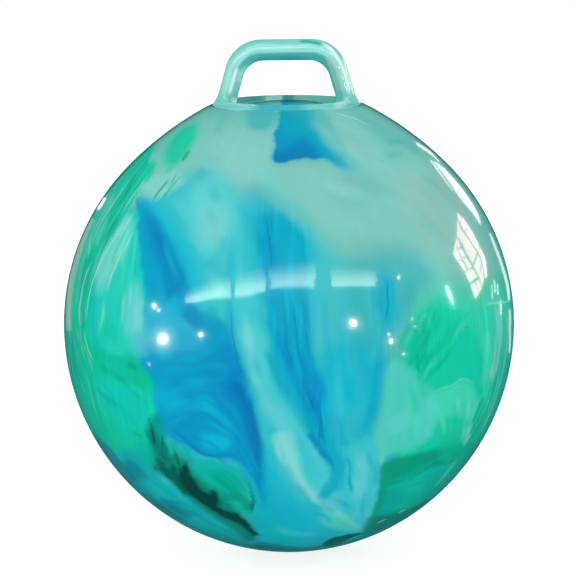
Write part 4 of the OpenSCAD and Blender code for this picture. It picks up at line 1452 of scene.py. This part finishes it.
# %% Shader helpers
def feed(node, values):
    """Link sockets, or write plain values, to a node's inputs."""
    for key, value in values.items():
        if isinstance(value, bpy.types.NodeSocket):
            node.id_data.links.new(value, node.inputs[key])
        else:
            node.inputs[key].default_value = value


def adder(tree):
    """A helper that adds nodes to a tree, by the end of their type's name."""
    def add(kind, values=None, **settings):
        node = tree.nodes.new("ShaderNode" + kind)
        for key, value in settings.items():
            setattr(node, key, value)
        feed(node, values or {})
        return node

    return add


def shader(name):
    """A new node material, its main shader and a helper that adds nodes."""
    finish = bpy.data.materials.new(name)
    finish.use_nodes = True
    return finish, finish.node_tree.nodes["Principled BSDF"], adder(finish.node_tree)


def sums(add, operation, a, b):
    """Math node of two values."""
    return add("Math", {0: a, 1: b}, operation=operation).outputs[0]


def times(add, a, b):
    """Product of two values."""
    return sums(add, "MULTIPLY", a, b)


def unpacked(add, value, reach):
    """A value between 0 and 1, spread over minus to plus a reach."""
    return times(add, sums(add, "SUBTRACT", value, 0.5), 2 * reach)


def mixed(add, share, a, b, blend="MIX"):
    """Colour mix; a and b are sockets or colours."""
    return add("Mix", {0: share, 6: a, 7: b}, data_type="RGBA", blend_type=blend).outputs[2]


def tinted(add, share, colour, tint):
    """A colour times a tint, by a share."""
    return mixed(add, share, colour, (*tint, 1), "MULTIPLY")


def bumped(add, strength, distance, height):
    """A bump from a height."""
    return add("Bump", {"Strength": strength, "Distance": distance, "Height": height}).outputs[0]


def noise_at(add, place, scale, detail, stretch=(1, 1, 1), rough=0.5):
    """Noise on Object coordinates, drawn out by a stretch for each axis."""
    mapping = add("Mapping", {"Vector": place, "Scale": stretch})
    texture = add("TexNoise", {"Vector": mapping.outputs[0], "Scale": scale, "Detail": detail,
                                         "Roughness": rough})
    return texture.outputs["Fac"]


# %% Marbled vinyl of the ball
def round_the_axis(add, place, across, along):
    """Coordinates that change quickly round the ball's axis and slowly along it."""
    split = add("SeparateXYZ", {0: place})
    flat = add("CombineXYZ", {0: split.outputs[0], 1: split.outputs[1], 2: 0.0})
    ring = add("VectorMath", {0: flat.outputs[0]}, operation="NORMALIZE")
    wide = add("VectorMath", {0: ring.outputs[0], "Scale": across}, operation="SCALE")
    rise = add("CombineXYZ", {2: times(add, split.outputs[2], along)})
    return add("VectorMath", {0: wide.outputs[0], 1: rise.outputs[0]}, operation="ADD").outputs[0]


def streaks(add, place, across, along, detail):
    """Noise drawn out along the meridians."""
    return add("TexNoise", {"Vector": round_the_axis(add, place, across, along), "Scale": 1.0,
                                      "Detail": detail, "Roughness": 0.6}).outputs["Fac"]


def spread(add, value, low, high, top=1.0):
    """A value between low and high turned to 0 up to top."""
    return add("MapRange", {"Value": value, "From Min": low, "From Max": high, "To Max": top},
               interpolation_type="SMOOTHSTEP").outputs[0]


def marbled_vinyl():
    """Glossy vinyl that shows the paint stored on the ball."""
    finish, main, add = shader("marbled_vinyl")
    place = add("TexCoord").outputs["Object"]
    fine = noise_at(add, place, 110, 5, (1, 1, 0.6), 0.65)
    cloud = noise_at(add, place, 16, 5)
    broad = streaks(add, place, 16, 9, 4)
    hair = streaks(add, place, 75, 16, 3)
    ground = add("Attribute", attribute_name="ground")
    colour = ground.outputs["Color"]
    drag = ground.outputs["Alpha"]
    for drawn, low, high, top, tint in (
            (broad, 0.5, 0.72, 1.0, (1.0, 1.22, 1.18)),
            (hair, 0.5, 0.74, 0.3, (0.15, 0.7, 0.78)),
            (hair, 0.48, 0.3, 1.0, (1.0, 1.15, 1.12))):
        colour = tinted(add, times(add, spread(add, drawn, low, high, top), drag), colour, tint)
    for name, fray in (("ink_1", 1.6), ("ink_2", 1.4)):
        ink = add("Attribute", attribute_name=name)
        depth = unpacked(add, ink.outputs["Alpha"], DEPTH_RANGE)
        frayed = sums(add, "ADD", depth, unpacked(add, fine, fray))
        colour = mixed(add, spread(add, frayed, -1.0, 1.0), colour, ink.outputs["Color"])
    threads = add("Attribute", attribute_name="threads").outputs["Color"]
    thread = add("SeparateColor", {0: threads})
    off = unpacked(add, thread.outputs[0], THREAD_RANGE)
    body = add("MapRange", {"Value": sums(add, "ABSOLUTE", off, 0.0), "From Min": 0.3, "From Max": 1.5,
                                      "To Min": 1.0, "To Max": 0.0}, interpolation_type="SMOOTHSTEP")
    pull = unpacked(add, thread.outputs[1], 1.0)
    light = times(add, sums(add, "MAXIMUM", pull, 0.0), body.outputs[0])
    dark = times(add, times(add, sums(add, "MINIMUM", pull, 0.0), -1.0), body.outputs[0])
    # Light threads, among them two painted highlights, mix towards a pale highlight colour.
    colour = mixed(add, times(add, light, 0.75), colour, (*linear("highlight_and_pale_thread"), 1))
    colour = tinted(add, times(add, dark, 0.7), colour, (0.1, 0.6, 0.7))
    colour = tinted(add, spread(add, cloud, 0.45, 0.75), colour, (1.0, 1.08, 1.08))
    slow = noise_at(add, place, 11, 2)
    feed(main, {"Base Color": colour, "Roughness": 0.14, "IOR": 1.48, "Specular IOR Level": 0.3,
                "Coat Weight": 0.7, "Coat IOR": 1.6, "Coat Roughness": 0.04,
                "Normal": bumped(add, 0.05, 0.004, slow)})
    return finish


# %% Vinyl of the crown, of the valve and plastic of the stopper
def crown_vinyl():
    """Glossy vinyl of the ring and the handle."""
    finish, main, add = shader("crown_vinyl")
    place = add("TexCoord").outputs["Object"]
    ground = add("Attribute", attribute_name="ground")
    split = add("SeparateXYZ", {0: place})
    along = add("CombineXYZ", {0: times(add, ground.outputs["Alpha"], 24.0),
                                         1: times(add, split.outputs[0], 22.0),
                                         2: times(add, split.outputs[2], 22.0)})
    drawn = add("TexNoise", {"Vector": along.outputs[0], "Scale": 1.0, "Detail": 3,
                                       "Roughness": 0.6}).outputs["Fac"]
    deep = tinted(add, spread(add, drawn, 0.5, 0.72), ground.outputs["Color"], (0.62, 0.88, 0.9))
    fair = tinted(add, spread(add, drawn, 0.5, 0.3), deep, (1.25, 1.1, 1.08))
    feed(main, {"Base Color": fair, "Roughness": 0.18, "IOR": 1.5, "Coat Weight": 0.4, "Coat Roughness": 0.06,
                "Normal": bumped(add, 0.06, 0.002, noise_at(add, place, 40, 2))})
    return finish


def plain_vinyl(name, pigment, other, roughness):
    """One clouded colour, for the valve and the stopper."""
    finish, main, add = shader(name)
    place = add("TexCoord").outputs["Object"]
    cloud = add("MapRange", {"Value": noise_at(add, place, 120, 4), "From Min": 0.4, "From Max": 0.7})
    colour = mixed(add, cloud.outputs[0], (*linear(pigment), 1), (*linear(other), 1))
    grain = noise_at(add, place, 900, 2)
    feed(main, {"Base Color": colour, "Roughness": roughness, "Normal": bumped(add, 0.08, 0.0004, grain)})
    return finish


def dress(obj, finish):
    """Give a piece one finish."""
    obj.data.materials.clear()
    obj.data.materials.append(finish)


dress(ball, marbled_vinyl())
dress(crown, crown_vinyl())
dress(seat, plain_vinyl("valve_vinyl_finish", "sea_green", "teal", 0.3))
dress(stopper, plain_vinyl("stopper_plastic_finish", "pale_mint", "haze", 0.35))
print("finishes", [m.name for m in bpy.data.materials])

# %% [markdown]
# ## Floor, room and lights
# The photograph is a bright, nearly shadowless product shot. A pale floor runs up to a pale room, and
# the room that the glossy skin mirrors is much dimmer than the one that the camera sees, so that the
# colours stay deep and the rim stays drawn.

# %% Floor
deselect_all()
bpy.ops.mesh.primitive_circle_add(vertices=64, radius=9, fill_type="NGON", location=(0, 0, 0))
floor = named("pale_floor")
floor_finish, floor_main, _ = shader("pale_floor_finish")
feed(floor_main, {"Base Color": (0.45, 0.45, 0.44, 1), "Roughness": 0.9, "Specular IOR Level": 0.0,
                  "Emission Color": (1, 1, 0.98, 1), "Emission Strength": 0.82})
dress(floor, floor_finish)
floor.visible_glossy = False
floor.visible_diffuse = False

# %% Room: one brightness for the camera, one that lights, one that is mirrored
ROOM_SEEN = 1.0
ROOM_LIGHT = 0.93
ROOM_MIRRORED = 0.34
UNDERFOOT, OVERHEAD = -0.7, 0.6
STRAIGHT_BEHIND = 0.945, 0.98
room = bpy.data.worlds.new("pale_room")
scene.world = room
room.use_nodes = True
room_add = adder(room.node_tree)
seen = room.node_tree.nodes["Background"]
feed(seen, {"Color": (1, 1, 0.985, 1), "Strength": ROOM_SEEN})


def room_glow(strength, low_share, colour, far_share=1.0):
    """Background with one strength overhead, a share of it underfoot and one straight behind the ball."""
    split = room_add("SeparateXYZ", {0: room_add("TexCoord").outputs["Generated"]})
    rise = room_add("MapRange", {"Value": split.outputs["Z"], "From Min": UNDERFOOT,
                                           "From Max": OVERHEAD, "To Min": strength * low_share,
                                           "To Max": strength})
    far = room_add("MapRange", {"Value": split.outputs["Y"], "From Min": STRAIGHT_BEHIND[0],
                                          "From Max": STRAIGHT_BEHIND[1], "To Min": 1.0, "To Max": far_share})
    both = times(room_add, rise.outputs[0], far.outputs[0])
    return room_add("Background", {"Color": (*colour, 1), "Strength": both}).outputs[0]


rays = room_add("LightPath")
lit = room_glow(ROOM_LIGHT, 1.05, (0.97, 1.0, 1.0))
mirrored = room_glow(ROOM_MIRRORED, 0.5, (0.1, 1.0, 0.94), 0.1)
bounce = room_add("MixShader", {0: rays.outputs["Is Glossy Ray"], 1: lit, 2: mirrored})
either = room_add("MixShader", {0: rays.outputs["Is Camera Ray"], 1: bounce.outputs[0],
                                          2: seen.outputs[0]})
feed(room.node_tree.nodes["World Output"], {"Surface": either.outputs[0]})


# %% Soft lights
def soft_light(name, place, size, power, colour=(1, 1, 1)):
    """A square area light that looks at the ball's middle and isn't mirrored."""
    data = bpy.data.lights.new(name, "AREA")
    data.size = size
    data.energy = power
    data.color = colour
    light = bpy.data.objects.new(name, data)
    scene.collection.objects.link(light)
    aim = Vector((0, 0, BALL_Z)) - Vector(place)
    light.matrix_world = Matrix.Translation(place) @ aim.to_track_quat("-Z", "Y").to_matrix().to_4x4()
    light.visible_camera = False
    light.visible_glossy = False
    return light


soft_light("front_softbox", (-0.4, -3.4, 1.9), 2.6, 12)
soft_light("top_softbox", (0.3, 0.2, 3.4), 3.0, 5)

# %% [markdown]
# ## What the ball mirrors
# A glossy ball shows the room in small: a row of tube lamps, a few bulbs and a barred window. Each
# one is a glowing panel that only the gloss can see. Its place follows from the picture: a line of
# sight is reflected at the ball, and the panel's corner lies on the reflected line.

# %% Mirrored panels
PANEL_AWAY = 2.6


def mirrored_spot(column, row, away=PANEL_AWAY):
    """Where in the room the ball's skin mirrors a place of the picture."""
    sight = sight_line(column, row)
    _, spot, normal, _ = ball.ray_cast(camera_place, sight)
    return spot + sight.reflect(normal) * away


def glow_finish(name, strength, colour):
    """A plain glowing finish."""
    finish = bpy.data.materials.new(name)
    finish.use_nodes = True
    nodes = finish.node_tree.nodes
    nodes.remove(nodes["Principled BSDF"])
    glow = adder(finish.node_tree)("Emission", {"Color": (*colour, 1), "Strength": strength})
    feed(nodes["Material Output"], {"Surface": glow.outputs[0]})
    return finish


def mirrored_panel(name, quads, finish, away=PANEL_AWAY):
    """A panel of one or more quads, each given by four corners in the picture."""
    corners = [mirrored_spot(*corner, away) for quad in quads for corner in quad]
    mesh = bpy.data.meshes.new(name)
    mesh.from_pydata(corners, [], [tuple(range(first, first + 4)) for first in range(0, len(corners), 4)])
    panel = bpy.data.objects.new(name, mesh)
    scene.collection.objects.link(panel)
    panel.data.materials.append(finish)
    panel.visible_camera = False
    panel.visible_diffuse = False
    panel.visible_shadow = False


def lit_panel(name, quads, strength, colour, away=PANEL_AWAY):
    """A panel with a glow of its own."""
    mirrored_panel(name, quads, glow_finish(f"{name}_glow", strength, colour), away)


def between_places(a, b, share):
    """A place between two places of the picture."""
    return (a[0] + (b[0] - a[0]) * share, a[1] + (b[1] - a[1]) * share)


def band(upper, lower):
    """Quads between an upper and a lower line of the same count of corners."""
    return [(a, b, d, c) for a, b, c, d in zip(upper, upper[1:], lower, lower[1:])]


# %% Tube lamps: upper and lower line and brightness of each, and strips that brighten downwards
TUBE_GLOW = (0.8, 0.96, 0.7)
TUBES = [
    ([(185, 293), (198, 287), (210, 281), (222, 277), (231, 277)],
     [(186, 304), (198, 302), (210, 300), (222, 298.5), (231, 298)], 1.3),
    ([(235, 276), (246, 273), (258, 270), (265, 269.5)], [(235, 298), (246, 297), (258, 294), (265, 292)], 1.15),
    ([(270, 267), (285, 265), (300, 263), (315, 261.5)],
     [(270, 289.5), (285, 288.5), (300, 287.5), (315, 288)], 1.0),
    ([(331, 266), (350, 266), (365, 268), (377, 270)],
     [(331, 287.5), (350, 286.5), (365, 286.5), (376, 286.5)], 1.0),
]
TUBE_STRIPS = [(0.0, 0.2, 1.0), (0.2, 0.4, 2.4), (0.4, 0.6, 4.2), (0.6, 0.78, 5.8), (0.78, 0.94, 6.6),
               (0.94, 1.0, 3.0)]
for index, (upper, lower, share) in enumerate(TUBES, 1):
    for step, (start, end, strength) in enumerate(TUBE_STRIPS, 1):
        lines = [[between_places(a, b, at) for a, b in zip(upper, lower)] for at in (start, end)]
        lit_panel(f"tube_{index}_{step}", band(*lines), strength * share, TUBE_GLOW)
print("tubes", len(TUBES), "of", len(TUBE_STRIPS), "strips")

# %% Bulbs: column, row, half width and brightness
BULB_GLOW = (0.97, 1, 0.84)
BULB_HALO = [(1.0, 1.0), (1.45, 0.1), (2.0, 0.045), (2.8, 0.02), (3.9, 0.009)]
HALO_STEP = 0.02
BULBS = [(163, 339, 4.2, 75), (200.8, 334.8, 1.9, 60), (154.4, 306, 1.1, 140), (158.8, 310, 0.8, 110),
         (353, 323, 3.0, 60), (391, 341, 2.6, 25), (389, 334, 1.6, 12), (404, 354, 1.8, 12),
         (412, 320, 1.2, 10), (415, 327, 1.2, 10), (399, 277, 1.4, 16), (149, 364, 1.4, 10)]


def bulb(name, column, row, half, strength):
    """A small round lamp with its soft halo, mirrored at a place of the picture."""
    turns = [2 * math.pi * k / 8 for k in range(8)]
    for index, (wider, share) in enumerate(BULB_HALO):
        rim = [(column + wider * half * math.cos(t), row + wider * half * math.sin(t)) for t in turns]
        quads = [(rim[0], rim[1], rim[2], rim[3]), (rim[0], rim[3], rim[4], rim[7]),
                 (rim[4], rim[5], rim[6], rim[7])]
        lit_panel(f"{name}_{index}", quads, strength * share, BULB_GLOW, PANEL_AWAY + HALO_STEP * index)


for index, lamp in enumerate(BULBS, 1):
    bulb(f"bulb_{index}", *lamp)
lit_panel("bulb_long", band([(444.2, 286), (447, 293.5), (452, 304)], [(447, 285), (450.4, 292.5), (453.4, 303.5)]),
          12, (0.95, 1, 0.97))
lit_panel("bulb_long_halo", band([(441, 283), (445, 296), (452, 311)], [(449, 281), (454, 294), (456, 309)]),
          1.2, (0.8, 1, 0.95), PANEL_AWAY + 2 * HALO_STEP)
print("bulbs", len(BULBS) + 1)

# %% Barred window on the right: five lines from its outer to its inner side, and four rows of panes
WINDOW_GLOW = (1, 0.64, 0.6)
WINDOW_BARS = [
    [(457.6, 212.5), (462, 216.5), (468, 225), (474, 235.5), (480.6, 247.5), (485.6, 258), (487, 278)],
    [(457.4, 220), (459.5, 226.5), (465.5, 234.5), (471.5, 243.5), (477.3, 253.5), (482.6, 264), (484.8, 281.5)],
    [(457.6, 228), (457.6, 238), (461.7, 248), (466.5, 257.5), (472.5, 268.5), (478, 279), (482, 289)],
    [(457.3, 230), (456, 242), (457, 251), (462, 260), (468.5, 271), (474, 281.5), (479.5, 296.5)],
    [(457.2, 232), (454.5, 246), (452, 255), (457, 262.5), (464, 273.5), (470, 285), (476.5, 304)],
]
PANE_ACROSS = (0.04, 0.84)
PANE_ALONG = (0.93, 0.88, 0.84, 0.84)
PANE_GLOW = (6, 5.5, 7, 9)
rows = zip(WINDOW_BARS, WINDOW_BARS[1:], PANE_ALONG, PANE_GLOW)
for index, (outer, inner, along, strength) in enumerate(rows, 1):
    panes = []
    for o0, o1, i0, i1 in zip(outer, outer[1:], inner, inner[1:]):
        a, b = [between_places(o0, i0, at) for at in PANE_ACROSS]
        d, c = [between_places(o1, i1, at) for at in PANE_ACROSS]
        panes.append((a, b, between_places(b, c, along), between_places(a, d, along)))
    lit_panel(f"window_{index}", panes, strength, WINDOW_GLOW)
print("window rows", len(PANE_GLOW))

# %% Slivers of light along the rim
sliver_glow = glow_finish("sliver_glow", 2.6, (1, 1, 0.98))
for name, outer, inner in [
        ("rim_sliver_1", [(416, 142.5), (424, 147), (432, 153.2), (439, 161)],
         [(417, 145), (425, 150.5), (433, 156), (439, 162)]),
        ("rim_sliver_2",
         [(435, 161.5), (443, 167.2), (450.5, 175.2), (457, 182.5), (462, 188.4), (467, 195.6), (472, 203.2),
          (477, 213), (481, 222.5)],
         [(433, 161), (439.4, 168.5), (445.5, 177), (451, 185), (455.5, 192), (459, 196.4), (465, 204),
          (472.5, 213.7), (480.4, 225)]),
        ("rim_sliver_2_inner", [(431.6, 160), (437.6, 168.6), (443.6, 177.4), (449, 185.4), (453, 190.6)],
         [(430.5, 160), (435.4, 168), (441.4, 176.6), (447.5, 185), (452.6, 190.8)]),
        ("rim_sliver_3", [(97, 209), (100, 204), (104, 198)], [(100, 209), (103, 204), (106, 199)])]:
    mirrored_panel(name, band(outer, inner), sliver_glow)
faint_glow = glow_finish("faint_glow", 1.0, (0.85, 1, 0.96))
lit_panel("rim_line", band([(490.5, 233), (497.5, 250), (504, 267.5), (508.3, 283), (510.3, 300)],
                           [(489, 234), (495, 251), (501.3, 268.5), (505.4, 284), (508, 300)]),
          1.4, (0.85, 1, 0.97))
mirrored_panel("rim_line_low", band([(510.8, 309), (511, 330), (510.4, 352)],
                                    [(508.6, 309), (508.8, 330), (508.4, 352)]), faint_glow)
lit_panel("rim_band", band([(92, 218), (80, 244), (71, 272), (67, 300), (66.5, 330)],
                           [(95, 219), (84, 245), (76, 273), (72, 300), (71.5, 330)]), 0.4, (1, 1, 0.98))
for index, (column, top, low) in enumerate([(491, 285, 300), (494, 280, 292), (497, 284, 296), (500, 300, 316)], 1):
    glint = ((column, top), (column + 1.2, top), (column + 1.6, low), (column + 0.6, low))
    lit_panel(f"glint_{index}", [glint], 3.0, (0.9, 1, 0.97))
mirrored_panel("glint_bar", [((487, 303.5), (508, 301), (508, 302.4), (487, 305))], faint_glow)
print("slivers laid")
